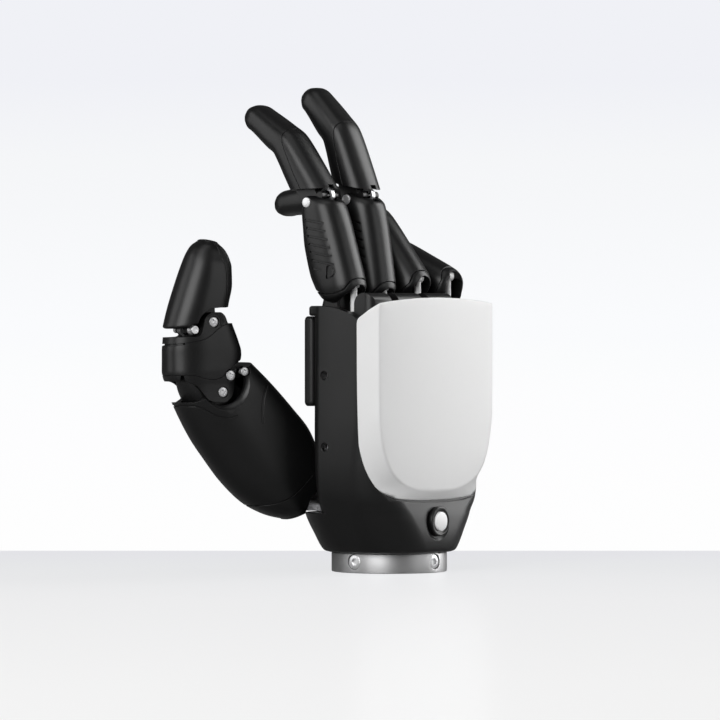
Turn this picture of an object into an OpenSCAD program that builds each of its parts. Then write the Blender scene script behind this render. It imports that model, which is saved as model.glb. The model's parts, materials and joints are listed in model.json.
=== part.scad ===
// Dexterous robot hand, right hand, six driven axes.
// Frame: origin in the middle of the wrist flange's bottom face, +Z to the fingertips,
// -Y is the back of the hand, +Y the palm side, -X the thumb side.

/* [Wrist] */
// Diameter of the wrist flange
flange_d = 45; // [42:0.5:46]
// Height of the wrist flange
flange_h = 7.5; // [7:0.1:9]
// Diameter of the socket that goes over the arm's spigot
socket_d = 36; // [32:0.5:37]
// Diameter of a flange screw's head
flange_screw_d = 5.6; // [5:0.1:6]

/* [Palm] */
// Width of the palm across the knuckles
palm_w = 76; // [76:0.5:80]
// Depth from the housing's back face to its palm face
palm_depth = 30.5; // [29:0.5:31]
// Wall of the palm housing
palm_wall = 2.4; // [2:0.1:3]
// Height of the housing's top edge at the back
palm_top = 100; // [99:0.2:101]
// Wall of the back cover
cover_wall = 2.2; // [1.8:0.1:2.4]
// Thickness of the palm pad
pad_thick = 5.2; // [4:0.1:5.6]

/* [Fingers] */
// Distance between neighbouring fingers
finger_pitch = 19.6; // [19.2:0.1:20]
// Width of a finger casing
finger_w = 17; // [16.4:0.1:17.4]
// Height of the knuckle axis
knuckle_z = 116; // [115.5:0.1:118]
// Distance of the knuckle axis from the flange centre plane
knuckle_y = 0.4; // [0:0.1:1]
// Distance from the knuckle axis to the middle joint axis
link_len = 29.5; // [29:0.1:31]
// Diameter of a finger's joint pins
pin_d = 3; // [2.6:0.1:3.2]
// Tilt of the index finger's first link from upright
index_tilt = 17.4; // [10:0.1:25]
// Tilt of the middle finger's first link from upright
middle_tilt = 9; // [4:0.1:16]
// Tilt of the ring finger's first link from upright
ring_tilt = 38; // [30:0.1:45]
// Tilt of the little finger's first link from upright
little_tilt = 65; // [55:0.1:68]
// Length of the index and middle fingers' second link
long_tip = 49; // [47:0.5:50]
// Length of the ring finger's second link
ring_tip = 42; // [40:0.5:49]
// Length of the little finger's second link
little_tip = 40; // [38:0.5:49]
// Height by which the little finger's knuckle sits below the others
little_drop = 2.6; // [0:0.1:3]

/* [Finger linkage] */
// Bend of the middle joint for each degree of the knuckle
curl_ratio = 1.064; // [1:0.001:1.1]
// Radius of the lever that the push rod turns
lever_r = 7; // [6.6:0.1:7.4]
// Radius of the coupler link's two arms
coupler_r = 5; // [4.8:0.1:5.2]
// Diameter of a push rod
rod_d = 2.6; // [2:0.1:3]

/* [Thumb] */
// Width of the thumb's base casing
thumb_w = 23; // [21:0.5:23]
// Heading of the thumb's plane about the upright axis
thumb_heading = -112.5; // [-114:0.5:-110]
// Diameter of a thumb joint pin
thumb_pin_d = 4; // [3.4:0.1:4.4]

/* [Button] */
// Diameter of the power button
button_d = 7.4; // [6:0.1:8]
// Travel of the power button
button_travel = 1; // [0.6:0.1:1.2]

/* [Hidden] */
$fn = 32;
tiny = 0.01;
run_gap = 0.05;      // radial play of a turning fit
seat_gap = 0.1;      // gap between pieces that are screwed together
swing_gap = 0.3;     // gap between pieces that move past each other
ring_n = 24;         // points round a lofted casing

// ---- lofts -------------------------------------------------------------------------------
function mix(a, b, t) = a + (b - a) * t;
function power_wave(s, k) = sign(s) * pow(abs(s), 2 / k);

// Ring of a casing in the plane through its back point and its front point, both [y, z].
function ring(back, front, w, k_back = 2.6, k_front = 2.6) = [
    for (i = [0:ring_n - 1])
        let (a = 360 * (i + 0.5) / ring_n, k = sin(a) < 0 ? k_back : k_front)
        let (v = (1 + power_wave(sin(a), k)) / 2)
        [power_wave(cos(a), k) * w / 2, mix(back.x, front.x, v), mix(back.y, front.y, v)]
];

// Ring at one height: a rectangle from y0 to y1, hx either way, with round corners of
// radius r_back and r_front. Its height goes from z0 at the back to z1 at the front.
function slab_ring(hx, y0, y1, r_back, r_front, z0, z1) = [
    for (c = [0:3], s = [0:5])
        let (a = 180 + 90 * c + 18 * s, r = c < 2 ? r_back : r_front)
        let (cx = (c == 0 || c == 3) ? -hx + r : hx - r, cy = c < 2 ? y0 + r : y1 - r)
        let (y = cy + r * sin(a))
        [cx + r * cos(a), y, mix(z0, z1, (y - y0) / (y1 - y0))]
];

module skin(rings, caps = undef) {
    n = len(rings[0]);
    m = len(rings);
    sides = [
        for (i = [0:m - 2], j = [0:n - 1])
            let (a = i * n + j, b = i * n + (j + 1) % n)
            each [[b + n, b, a], [a + n, b + n, a]]
    ];
    ends = caps == undef ? [[for (j = [0:n - 1]) j]] : caps;
    floor_cap = ends;
    top_cap = [for (c = ends) [for (k = [len(c) - 1:-1:0]) (m - 1) * n + c[k]]];
    polyhedron([for (r = rings) each r], concat(sides, floor_cap, top_cap), convexity = 6);
}

// A casing's stations are [back point, front point, width]; inset() thins them by a wall.
function casing_rings(stations, kb, kf) = [for (s = stations) ring(s[0], s[1], s[2], kb, kf)];
function inset(s, wall) =
    let (u = (s[1] - s[0]) / norm(s[1] - s[0]) * wall) [s[0] + u, s[1] - u, s[2] - 2 * wall];

// Prism along X over an outline of [y, z] points, w wide, middle at x.
module side_prism(points, w, x = 0)
    translate([x - w / 2, 0, 0]) rotate([90, 0, 90]) linear_extrude(w) polygon(points);

// Plate from z0 up, h high: hx either way, y0 to y1, with corners of radius r.
module plate(hx, y0, y1, r, z0, h) translate([0, 0, z0]) linear_extrude(h)
    polygon([for (p = slab_ring(hx, y0, y1, r, r, 0, 0)) [p.x, p.y]]);

// Rod along X at [y, z].
module cross_rod(d, w, at = [0, 0], x = 0)
    translate([x, at.x, at.y]) rotate([0, 90, 0]) cylinder(d = d, h = w, center = true);

module at_pin(p) translate([0, p.x, p.y]) children();

// ---- wrist -------------------------------------------------------------------------------
screw_z = 4.3;
plate_z = flange_h + 0.3;       // underside of the palm housing
socket_depth = flange_h + 0.2;

module around_flange() for (a = [0:90:270]) rotate([0, 0, a]) children();
module wrist_flange() color("silver") difference() {
    union() {
        cylinder(d = flange_d - 1, h = 0.5 + tiny, $fn = 96);
        translate([0, 0, 0.5]) cylinder(d = flange_d, h = flange_h - 0.5, $fn = 96);
        translate([0, 0, flange_h]) cylinder(d = flange_d - 3, h = plate_z - flange_h, $fn = 96);
    }
    translate([0, 0, -1]) cylinder(d = socket_d, h = plate_z + 2, $fn = 96);
    around_flange() translate([0, -flange_d / 2 - 1, screw_z]) rotate([-90, 0, 0]) {
        cylinder(d = flange_screw_d + 0.4, h = 2.2);
        cylinder(d = 2.6, h = flange_d / 2);
    }
}
module flange_screws() color("dimgray") around_flange()
    translate([0, -flange_d / 2 + 0.4, screw_z]) rotate([-90, 0, 0]) difference() {
        union() {
            cylinder(d = flange_screw_d, h = 0.8);
            cylinder(d = 2.5, h = (flange_d - socket_d) / 2 - 0.6);
        }
        translate([0, 0, -tiny]) cylinder(d = 2.6, h = 0.6, $fn = 6);
    }
module wrist_connector() color("dimgray") translate([0, 0, plate_z + 1.2]) difference() {
    union() {
        cylinder(d = 14, h = 5);
        translate([0, 0, 3.4]) cylinder(d = 22 - 2 * seat_gap, h = 1.6);
    }
    translate([0, 0, -tiny]) cylinder(d = 11.5, h = 3.5);
    for (a = [0:60:300]) rotate([0, 0, a]) translate([3.6, 0, 3]) cylinder(d = 1, h = 1.2);
}

// ---- palm --------------------------------------------------------------------------------
palm_hw = palm_w / 2;
palm_back = -21;                // back face of the housing, under the cover
palm_front = palm_back + palm_depth;
shelf_z = 23.2;                 // top of the base, which carries the thumb
shelf_y = 26.6;
top_drop = 3.6;                 // the top edge rises towards the palm face by this much
housing_rings = [
    slab_ring(palm_hw - 14.5, -22.6, 22.6, 19, 20, plate_z, plate_z),
    slab_ring(palm_hw - 13, -23.8, 23.8, 20, 21, plate_z + 1, plate_z + 1),
    slab_ring(palm_hw - 9.4, -24, 25, 19, 20.5, 15, 15),
    slab_ring(palm_hw - 5.6, -23.6, shelf_y - 0.4, 17.6, 20, shelf_z - 0.8, shelf_z - 0.8),
    slab_ring(palm_hw - 6, -23.4, shelf_y - 1, 17.6, 20, shelf_z, shelf_z)
];
front_low = palm_front + 0.4;   // the palm face comes forward towards the wrist
upper_rings = [
    slab_ring(palm_hw - 5.4, -23.6, front_low, 17.4, 5, shelf_z - 1, shelf_z - 1),
    slab_ring(palm_hw - 2.6, -22.6, front_low, 14.6, 5, 28.4, 28.4),
    slab_ring(palm_hw - 1.6, -22.2, front_low, 14, 5, 33, 33),
    slab_ring(palm_hw - 0.6, -21.8, palm_front + 0.3, 12.3, 5, 44, 44),
    slab_ring(palm_hw, -21.4, palm_front, 9, 5, 62, 62),
    slab_ring(palm_hw, -21.4, palm_front, 9, 5, palm_top, palm_top + top_drop)
];
lip_z = 99.3;                   // underside of the lip over the palm pad
function cavity_ring(hx, z0, z1) =
    slab_ring(hx - palm_wall, palm_back + palm_wall, palm_front - palm_wall, 4, 1.2, z0, z1);
cavity_rings = [
    cavity_ring(palm_hw - 5, 30, 30),
    cavity_ring(palm_hw - 1, 48, 48),
    cavity_ring(palm_hw - 1, 66, 66),
    cavity_ring(palm_hw - 1, palm_top + 1, palm_top + top_drop + 1)
];
yaw_at = [-17, 17];             // upright axis that turns the thumb
bush_z = 18;
bush_d = 11;
yaw_shaft_d = 6;
button_z = 20;
button_y = -24.4;
boss_d = 14;
side_hole_z = [49, 76.6];

module palm_housing() color("#1c1c1e") difference() {
    union() {
        skin(housing_rings);
        skin(upper_rings);
        // lip over the palm pad
        skin([
            slab_ring(palm_hw - 1.5, 0, palm_front + pad_thick - 3.4, 1, 2, lip_z, lip_z),
            slab_ring(palm_hw - 0.3, 0, palm_front + pad_thick - 2.4, 1, 2, lip_z + 1, lip_z + 1),
            slab_ring(palm_hw - 0.8, 0, palm_front + pad_thick - 2.8, 1, 2, palm_top + top_drop, palm_top + top_drop)
        ]);
    }
    skin(cavity_rings);
    // the top edge curves down towards the back
    side_prism([[-40, 97.4], [-14, 98.2], [-10.3, 100.3], [-6, 101.8], [-1.6, 102.8], [4, 103.3],
        [14, 103.3], [14, 130], [-40, 130]], palm_w + 10);
    skin(cover_rings(seat_gap));
    // room for the casings' round lower ends over the palm-side edge
    for (i = [0:3]) at_knuckle(i) cross_rod(2 * casing_swing, finger_w + 1);
    translate([0, 0, plate_z - 1]) cylinder(d = 22, h = 30);
    // seat of the button in the lower back face
    translate([0, button_y - 1, button_z]) rotate([-90, 0, 0]) {
        cylinder(d = boss_d, h = 2);
        cylinder(d = button_d + 2.4, h = 12);
    }
    // seat of the thumb's rotation bush
    translate([yaw_at.x, yaw_at.y, bush_z]) cylinder(d = bush_d + 0.04, h = 20);
    for (z = side_hole_z) translate([-palm_hw - 1, -2, z]) rotate([0, 90, 0])
        cylinder(d = 2.6, h = 8);
}
// The back cover is a cup round the housing's back. half_rim runs along the foot of its side wall,
// half_face along the edge of its back face: [x, y, z] from the top down to the middle.
rim_top = 98.6;
half_rim = [[38.5, -14, rim_top], [38.3, -14, 79], [37.9, -14, 60], [37.3, -14, 51],
    [36.4, -14.7, 45.2], [35.2, -15.8, 40.4], [33.4, -17.3, 36], [31.6, -18.7, 33.1],
    [28.4, -20.6, 30.7], [24, -21.8, 29.3], [16, -22.3, 28.6], [8, -22.4, 28.3], [0, -22.4, 28.2]];
half_face = [[36.4, -23.4, rim_top + 5.9], [36.4, -23.4, 79], [36.2, -23.4, 61], [34.8, -23.4, 52],
    [32.8, -23.5, 46], [30.2, -23.6, 41.4], [26.8, -23.7, 38], [22.6, -23.8, 35.5],
    [18.6, -23.9, 33.9], [14, -24, 32.9], [9, -24.1, 32.2], [4.5, -24.2, 31.9], [0, -24.2, 31.8]];
top_edge = [[34.6, -23.5, rim_top + 6.1], [30, -23.7, rim_top + 6.6], [20, -24, rim_top + 7.5], [10, -24.2, rim_top + 8.1],
    [0, -24.2, rim_top + 8.3]];
mid_z = 66;
function other(p) = [-p.x, p.y, p.z];
function whole(half) = concat([for (p = half) other(p)], [for (i = [len(half) - 2:-1:0]) half[i]]);
function cover_loop(side, top) =
    concat(whole(side), top, [for (i = [len(top) - 2:-1:0]) other(top[i])]);
rim_loop = cover_loop(half_rim, [for (p = top_edge) [p.x * 1.01, p.y + 2.6, p.z - 1.6]]);
face_loop = cover_loop(half_face, top_edge);
// Moves a loop's points by grow away from the middle, and by ahead along Y.
function grown(loop, grow, ahead) = [for (p = loop)
    let (u = [p.x, (p.z - mid_z) * 0.55])
    let (n = norm(u) > 0 ? u / norm(u) : [0, 0])
    [p.x + grow * n.x, p.y + ahead, p.z + grow * n.y]];
// Rings of the cover; g widens it for the rebate in the housing.
function cover_rings(g = 0) =
    let (e = g > 0 ? 1.2 : 0, inner = face_base(grown(face_loop, -cover_wall - g, 0), cover_wall + g))
    [
        inner,
        grown(rim_loop, -0.65 * cover_wall - g, g),
        grown(rim_loop, e, g),
        grown(face_loop, e, -e),
        [for (p = face_loop) [0.5 * p.x, -24.4 - e, mix(mid_z, p.z, 0.5)]]
    ];
function face_base(loop, wall) = [for (p = loop) [p.x, -23.4 + wall, p.z]];
module back_cover() color("white") skin(cover_rings());
module palm_pad() color("#202022") skin([
    slab_ring(35, palm_front, palm_front + pad_thick - 1, 1, 2, 65.5, 65.5),
    slab_ring(36, palm_front, palm_front + pad_thick, 1, 3, 66.6, 66.6),
    slab_ring(36, palm_front, palm_front + pad_thick, 1, 3, 98, 98),
    slab_ring(35, palm_front, palm_front + pad_thick - 1, 1, 2, lip_z - 0.1, lip_z - 0.1)
]);

// ---- finger places -----------------------------------------------------------------------
link_lean = 5;                  // the middle joint lies this much forward of the casing's axis
curl_back = 2.6;                // the middle joint's bend when the finger is straight, backwards
tilts = [index_tilt, middle_tilt, ring_tilt, little_tilt];
joint_at = [link_len * sin(link_lean), link_len * cos(link_lean)];
function finger_x(i) = (i - 1.5) * finger_pitch;
extra_curl = [0, 4, -5, 0];     // how much more each finger is held bent than the rule
function curl(i) = curl_ratio * tilts[i] - curl_back + extra_curl[i];
tip_len = [long_tip, long_tip, ring_tip, little_tip];
knuckle_drop = [0, 0, 0, little_drop];
module at_knuckle(i) translate([finger_x(i), knuckle_y, knuckle_z - knuckle_drop[i]]) children();
module on_first_link(i) at_knuckle(i) rotate([-tilts[i], 0, 0]) children();
module on_second_link(i)
    on_first_link(i) translate([0, joint_at.x, joint_at.y]) rotate([-curl(i), 0, 0]) children();

// ---- knuckle frame -----------------------------------------------------------------------
ear_w = 2.3;
ear_x = 3.75;                   // middle of an ear, either side of a finger's centre plane
ear_out = ear_x + ear_w / 2 + swing_gap;
frame_half = palm_hw - 1 - palm_wall - 0.2;
bar_z = [96.4, 101.2];          // the bar that all ears stand on
bar_front = palm_front - palm_wall - 0.3;
bar_back = palm_back + palm_wall + seat_gap;
stop_y = -14.35;                // middle, radius and top of the domed back stops
stop_r = 4.45;
stop_top = -7.6;
yoke_w = 7.2;
yoke_y = [-9.3, -1.9];          // yokes' room in front of and behind the knuckle axis
casing_swing = 12.4;            // radius that a first link's lower end sweeps
lever_back = 50;                // lever's angle below the back direction when straight
module knuckle_frame() color("#2a2a2c") difference() {
    union() {
        plate(frame_half, bar_back, bar_front, 4.2, bar_z[0], bar_z[1] - bar_z[0]);
        for (i = [0:3]) at_knuckle(i) {
            for (s = [-1, 1]) {
                cross_rod(8, ear_w, [0, 0], s * ear_x);
                cross_rod(5, ear_w, [coupler_r, 0], s * ear_x);
                side_prism([[-4, 0], [-1.6, -11], [-1.6, -16], [4.7, -16], [4.7, -11], [coupler_r + 2.5, 0]],
                    ear_w, s * ear_x);
            }
        }
        // domed back stops of the fingers, between the housing's side walls
        intersection() {
            for (i = [0:3]) at_knuckle(i)
                side_prism([[stop_y - stop_r, -16], for (a = [180:-15:0])
                    [stop_y + stop_r * cos(a), stop_top - stop_r + stop_r * sin(a)],
                    [stop_y + stop_r, -16]], finger_w - 2);
            plate(frame_half, bar_back, 20, 4.2, 90, 30);
        }
    }
    for (i = [0:3]) at_knuckle(i) {
        cross_rod(pin_d + 0.04, 12);
        cross_rod(1.6 + 0.04, 12, [coupler_r, 0]);
        translate([-yoke_w / 2 - swing_gap, yoke_y[0], -24])
            cube([yoke_w + 2 * swing_gap, yoke_y[1] - yoke_y[0], 24]);
    }
}
pin_half = finger_w / 2 - 0.9;
module knuckle_pins() color("silver") for (i = [0:3]) at_knuckle(i) {
    cross_rod(pin_d, 2 * pin_half);
    cross_rod(1.6, 2 * ear_x + ear_w, [coupler_r, 0]);
}

// ---- fingers -----------------------------------------------------------------------------
proximal_stations = [
    [[-1, -11.2], [5.5, -10.4], finger_w - 6],
    [[-6.8, -8.6], [8.4, -8.2], finger_w - 1.6],
    [[-8, -5.6], [10.6, -3], finger_w - 0.2],
    [[-8.2, 0], [11.5, 3], finger_w],
    [[-8.2, 13.3], [11, 12.8], finger_w],
    [[-8, 21], [9.4, 21], finger_w - 0.2],
    [[-7.4, 26], [8.2, 26.4], finger_w - 0.6],
    [[-5.6, 28.4], [6.8, 30], finger_w - 1.8],
    [[-2, 30.4], [4.4, 32.2], finger_w - 4]
];
joint_head_d = pin_d + 0.9;     // head of a middle joint's screw
rod_slot = 3.8;                 // width of the slot round a push rod's eye
tongue_w = 3;
tongue_x = 3.4;
fork_gap = tongue_x + tongue_w / 2 + swing_gap;
link_gap = 1.6;                 // half-width of the slot for the coupler link
function turned(p, a) = [p.x * cos(a) - p.y * sin(a), p.x * sin(a) + p.y * cos(a)];
lever_pin = [-lever_r * cos(lever_back), -lever_r * sin(lever_back)];
groove_depth = 0.4;
function stripe(a, b, w) =
    let (n = [a.y - b.y, b.x - a.x] / norm(b - a) * w / 2) [a + n, b + n, b - n, a - n];
// Slanting grip grooves in both side faces
module side_grooves() difference() {
    union() {
        for (k = [0:5])
            side_prism(stripe([5 + 0.33 * k, 23.2 - 3.17 * k], [-3.05, 19.1 - 3.33 * k], 0.6), finger_w + 4);
        side_prism(stripe([7.2, 4.07], [3.05, 2.2], 0.6), finger_w + 4);
    }
    skin(casing_rings([for (s = proximal_stations) inset(s, groove_depth)], 2.3, 3.4));
}
module proximal_casing(i) color("#1c1c1e") on_first_link(i) difference() {
    skin(casing_rings(proximal_stations, 2.3, 3.4));
    side_grooves();
    // room for the knuckle frame's ears as the finger folds
    side_prism([[-4.4, -14], [-4.4, 4], [-3.4, 7.1], [0, 7.9], [3, 7.6], [14, 5], [14, -14]], 2 * ear_out);
    // room for the lever and the push rod at the back
    cross_rod(5, rod_slot, lever_pin);
    translate([-rod_slot / 2, lever_pin.x - 2.4, -14]) cube([rod_slot, 3, 14 + lever_pin.y]);
    // arch that the rod comes out of
    translate([0, -12, -12.2]) rotate([-90, 0, 0]) cylinder(d = 2 * ear_out, h = 8);
    // channel of the coupler link
    side_prism([[-6.2, 3], [-6.6, 36], [8.4, 36], [8.4, 3]], 2 * link_gap);
    // fork round the second link's tongues
    translate([0, joint_at.x, joint_at.y]) {
        cross_rod(13.8, 2 * fork_gap);
        side_prism([[-12, 1], [-6, -1], [0, -5.3], [14, -5.3], [14, 8], [-12, 8]], 2 * fork_gap);
        cross_rod(pin_d + 0.04, finger_w + 2);
        for (s = [-1, 1]) cross_rod(joint_head_d + 0.2, 2.4, [0, 0], s * (finger_w / 2));
    }
    cross_rod(pin_d + 2 * run_gap, 2 * pin_half + 0.3);
    cross_rod(2.4, 2 * ear_out + 3.6, lever_pin);
}
distal_stations = [
    [[-8.7, 0.9], [6.3, 9.9], finger_w - 0.4],
    [[-8.3, 12], [5.8, 16], finger_w - 0.4],
    [[-7.7, 23], [5.2, 23], finger_w - 0.6],
    [[-7.1, 28], [5.1, 25.8], finger_w - 0.8],
    [[-4.6, 34.2], [6.6, 30], finger_w - 1.2],
    [[0.2, 44.4], [9.8, 40], finger_w - 3],
    [[2.6, 48], [11, 44], finger_w - 5],
    [[5.4, 49.6], [10.6, 47], finger_w - 9]
];
seam = [[-20, -8], [0.4, -8], [0.1, 6], [-1.9, 25], [-3.4, 28.6], [-6, 30.6], [-20, 31]];
back_pin_at = [-coupler_r, 0];  // where the coupler link holds the second link
function stretched(s, f) = [[s[0].x, s[0].y * f], [s[1].x, s[1].y * f], s[2]];
module distal_skin(i)
    skin(casing_rings([for (s = distal_stations) s[0].y < 2 ? s : stretched(s, tip_len[i] / 49.6)],
        2.5, 2.9));
module distal_body(i) color("#1c1c1e") on_second_link(i) {
    cross_rod(1.4, 2 * tongue_x, back_pin_at);
    distal_frame(i);
}
module distal_frame(i) difference() {
    union() {
        difference() {
            distal_skin(i);
            side_prism(seam, finger_w + 2);
        }
        for (s = [-1, 1]) {
            cross_rod(8, tongue_w, [0, 0], s * tongue_x);
            side_prism([[-4, 0], [-4.6, 9], [3.6, 13], [4, 0]], tongue_w, s * tongue_x);
            at_pin(back_pin_at) cross_rod(3, tongue_w, [0, 0], s * tongue_x);
        }
    }
    cross_rod(pin_d + 2 * run_gap, 2 * fork_gap);
    side_prism([[-12, -8], [-12, 9], [6, 12], [6, -8]], 2 * link_gap);
}
module distal_cover(i) color("#1c1c1e") on_second_link(i) difference() {
    intersection() {
        distal_skin(i);
        side_prism(seam, finger_w + 2);
    }
    side_prism([[-6.8, -2], [-4.9, 10], [3.7, 14], [6, -2]], 2 * (tongue_x + tongue_w / 2));
    side_prism([[-12, -2], [-12, 1.8], [-6.6, 3.6], [6, 14], [6, -2]], 2 * link_gap);
}
module screw_pin(d, w, head_d, head_h = 0.9) difference() {
    union() {
        cross_rod(d, w);
        for (s = [-1, 1]) cross_rod(head_d, head_h, [0, 0], s * (w - head_h) / 2);
    }
    for (s = [-1, 1]) translate([s * w / 2, 0, 0]) rotate([0, 90, 0])
        cylinder(d = 0.56 * head_d, h = 1.2, center = true, $fn = 6);
}
// Two screws on one axis, with the middle free over a width of gap.
module screw_pair(d, w, head_d, head_h, gap) for (s = [-1, 1]) difference() {
    union() {
        cross_rod(d, (w - gap) / 2, [0, 0], s * (w + gap) / 4);
        cross_rod(head_d, head_h, [0, 0], s * (w - head_h) / 2);
    }
    translate([s * w / 2, 0, 0]) rotate([0, 90, 0])
        cylinder(d = 0.56 * head_d, h = 1.2, center = true, $fn = 6);
}
module joint_screws(i) color("silver") on_first_link(i) {
    translate([0, joint_at.x, joint_at.y])
        screw_pair(pin_d, finger_w - 0.6, joint_head_d, 0.9, 2 * link_gap + 0.4);
    cross_rod(2, 2 * ear_out + 3, lever_pin);
}

// ---- finger drive ------------------------------------------------------------------------
rod_len = 20;
slide_ratio = 6.34 * PI / 180;   // lift of the actuator rod for each degree of the knuckle
slide_slack = 0.22;
function lever_at(i) = turned([-lever_r, 0], lever_back - tilts[i]);
module push_rod(i) color("white") at_knuckle(i) translate([0, lever_at(i).x, lever_at(i).y]) {
    difference() {
        union() {
            cross_rod(4.4, 2.6);
            translate([0, 0, -rod_len]) cylinder(d = rod_d, h = rod_len);
        }
        cross_rod(2 + 2 * run_gap, 5);
    }
    translate([0, 0, -rod_len]) cross_rod(1.6, 5.6);
}
rod_y = -5.75;
slide_zero = -lever_r * sin(lever_back) - rod_len;
function slide_at(i) = slide_zero + slide_ratio * tilts[i] - slide_slack;
module actuator_rod(i) color("silver") at_knuckle(i) translate([0, rod_y, slide_at(i)])
    difference() {
        union() {
            translate([0, 0, -30]) cylinder(d = 3, h = 26);
            translate([-yoke_w / 2, -3.4, -4.4]) cube([yoke_w, 6.8, 6.6]);
        }
        translate([-1.7, -4, -2.4]) cube([3.4, 8, 6]);
        translate([-4, -2.3, -1.2]) cube([8, 4.6, 2.4]);
    }
eye_play = [1.45, 1.25, 2, 1.25];   // play of each coupler link's upper eye
module coupler_link(i) color("silver") at_knuckle(i) difference() {
    from = [coupler_r, 0];
    to = turned(joint_at, -tilts[i]) + turned(back_pin_at, -tilts[i] - curl(i));
    d = to - from;
    translate([0, from.x, from.y]) rotate([-atan2(d.x, d.y), 0, 0]) difference() {
        union() {
            cross_rod(4, 2);
            translate([0, 0, norm(d)]) cross_rod(3.2 + 2 * eye_play[i], 2);
            translate([-1, -1.4, 0]) cube([2, 2.8, norm(d)]);
        }
        cross_rod(1.6 + 2 * run_gap, 4);
        translate([0, 0, norm(d)]) cross_rod(1.4 + 2 * eye_play[i], 4);
    }
}

// ---- thumb -------------------------------------------------------------------------------
// In the thumb's frame X runs across the thumb, +Y towards the palm and Z up.
thumb_side = 8;                 // the thumb's centre plane lies this far beside the yaw axis
pitch_at = [-11.5, 32];
middle_at = [-43.5, 76.6];
lever_at_middle = [-46.8, 70.2];
link_at_base = [-37.8, 78.1];
distal_at = [-50.9, 97.2];
link_at_distal = [-58.3, 94.2];
thumb_half = thumb_w / 2;
cheek_x = thumb_half - 5.2;     // half-width of the bracket's slot in the end cap
core_x = thumb_half - 4;        // outer face of the middle frame's plates
ear_half = thumb_half - 2.2;    // outer face of the middle frame's ears
fork_x = thumb_half - 6.9;      // inner face of the middle frame's plates
tongue_out = fork_x - swing_gap;
link_half = 1.6;
module in_thumb() translate([yaw_at.x, yaw_at.y, 0]) rotate([0, 0, thumb_heading])
    translate([-thumb_side, 0, 0]) children();

module thumb_yaw_bracket() color("gray") in_thumb() {
    translate([thumb_side, 0, bush_z + 0.6]) cylinder(d = yaw_shaft_d, h = shelf_z + 0.4 - bush_z);
    difference() {
        union() {
            intersection() {
                translate([thumb_side, 0, shelf_z + 0.3]) cylinder(d = 13, h = 2.8);
                translate([-10, -3.4, 0]) cube([30, 12, 40]);
            }
            side_prism([[-4, 23.5], [5, 23.5], [6, 26.2], [2.4, 32], [-9.6, 35.6], [-14, 35.2],
                [-15.4, 31], [-13, 28]], 2 * cheek_x - 2 * swing_gap);
        }
        at_pin(pitch_at) cross_rod(thumb_pin_d + 0.04, 40);
    }
}
module thumb_pitch_pin() color("silver") in_thumb() at_pin(pitch_at)
    cross_rod(thumb_pin_d, thumb_w - 5);
base_stations = [
    [[-15.6, 20.5], [-5.8, 24.2], thumb_w - 10],
    [[-21, 21.6], [-1.8, 30], thumb_w - 4],
    [[-31, 25.8], [-0.4, 37], thumb_w - 1],
    [[-42, 35], [-3.2, 46.6], thumb_w],
    [[-49.2, 43.6], [-7.4, 55.6], thumb_w],
    [[-55.2, 51.6], [-14.4, 63.6], thumb_w],
    [[-60.2, 60.2], [-24.4, 73.8], thumb_w],
    [[-63.4, 66.6], [-33, 81.6], thumb_w - 0.4]
];
cap_seam = [[-36, 12], [-34.5, 25.2], [-27, 25.8], [-20.5, 29], [-16.4, 34], [-12, 38.4], [-6, 42],
    [4, 45], [4, 12]];
module base_skin() skin(casing_rings(base_stations, 2.3, 4.4));
module thumb_end_cap() color("#1c1c1e") in_thumb() difference() {
    intersection() {
        base_skin();
        side_prism(cap_seam, thumb_w + 2);
    }
    side_prism([[-17, 26.6], [-17.4, 40], [-8, 46], [6, 46], [6, 14], [-3, 20]], 2 * cheek_x);
    side_prism([[-1.2, 14], [-1.2, 27.2], [6, 27.2], [6, 14]], thumb_w + 2);
    at_pin(pitch_at) cross_rod(thumb_pin_d + 2 * run_gap, thumb_w - 4.6);
}
base_cavity = [for (s = [for (i = [3:7]) base_stations[i]]) inset(s, 3)];
ear_swing = 13.2;
link_pin_half = thumb_half - 0.9;
module thumb_base_casing() color("#1c1c1e") in_thumb() difference() {
    base_skin();
    side_prism(cap_seam, thumb_w + 2);
    skin(casing_rings(concat(base_cavity, [[[-66, 72], [-40, 88], thumb_w - 7]]), 2.3, 4.4));
    // recess that the middle segment's ears swing in
    at_pin([-46.6, 74.5]) for (s = [-1, 1]) cross_rod(2 * ear_swing - 4.8, 6, [0, 0], s * (thumb_half - 1.5));
    at_pin(link_at_base) {
        cross_rod(2.6, thumb_w + 2);
        for (s = [-1, 1]) cross_rod(4.8, 3, [0, 0], s * (link_pin_half + 0.4));
    }
}
module thumb_base_frame() color("#29292b") in_thumb() difference() {
    union() {
        side_prism([[-43.6, 47], [-54.6, 63], [-57, 70], [-52.5, 73.5], [-47.6, 77.5], [-44.5, 80.6],
            [-40.8, 79.5], [-38.6, 73], [-25, 61]], 2 * tongue_out);
        side_prism([[-40, 50.2], [-47, 60], [-39, 65.7], [-32, 56]], thumb_w - 9.4);
        at_pin(middle_at) cross_rod(8.4, 2 * tongue_out);
        at_pin(link_at_base) cross_rod(5, 2 * tongue_out);
    }
    at_pin(middle_at) cross_rod(thumb_pin_d + 2 * run_gap, 20);
    at_pin(link_at_base) cross_rod(2 + 0.04, 20);
    side_prism([[-47, 62], [-60, 68], [-60, 90], [-30, 90], [-34, 70]], 2 * link_half);
}
module thumb_actuator() color("silver") in_thumb() translate([0, -35.2, 52.6])
    rotate([-144, 0, 0]) difference() {
        cylinder(d = 12, h = 12);
        translate([0, 0, 10.5]) cylinder(d = 5, h = 2);
    }
module thumb_link_pin() color("silver") in_thumb() at_pin(link_at_base)
    screw_pin(2, 2 * link_pin_half, 4.4);
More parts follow.
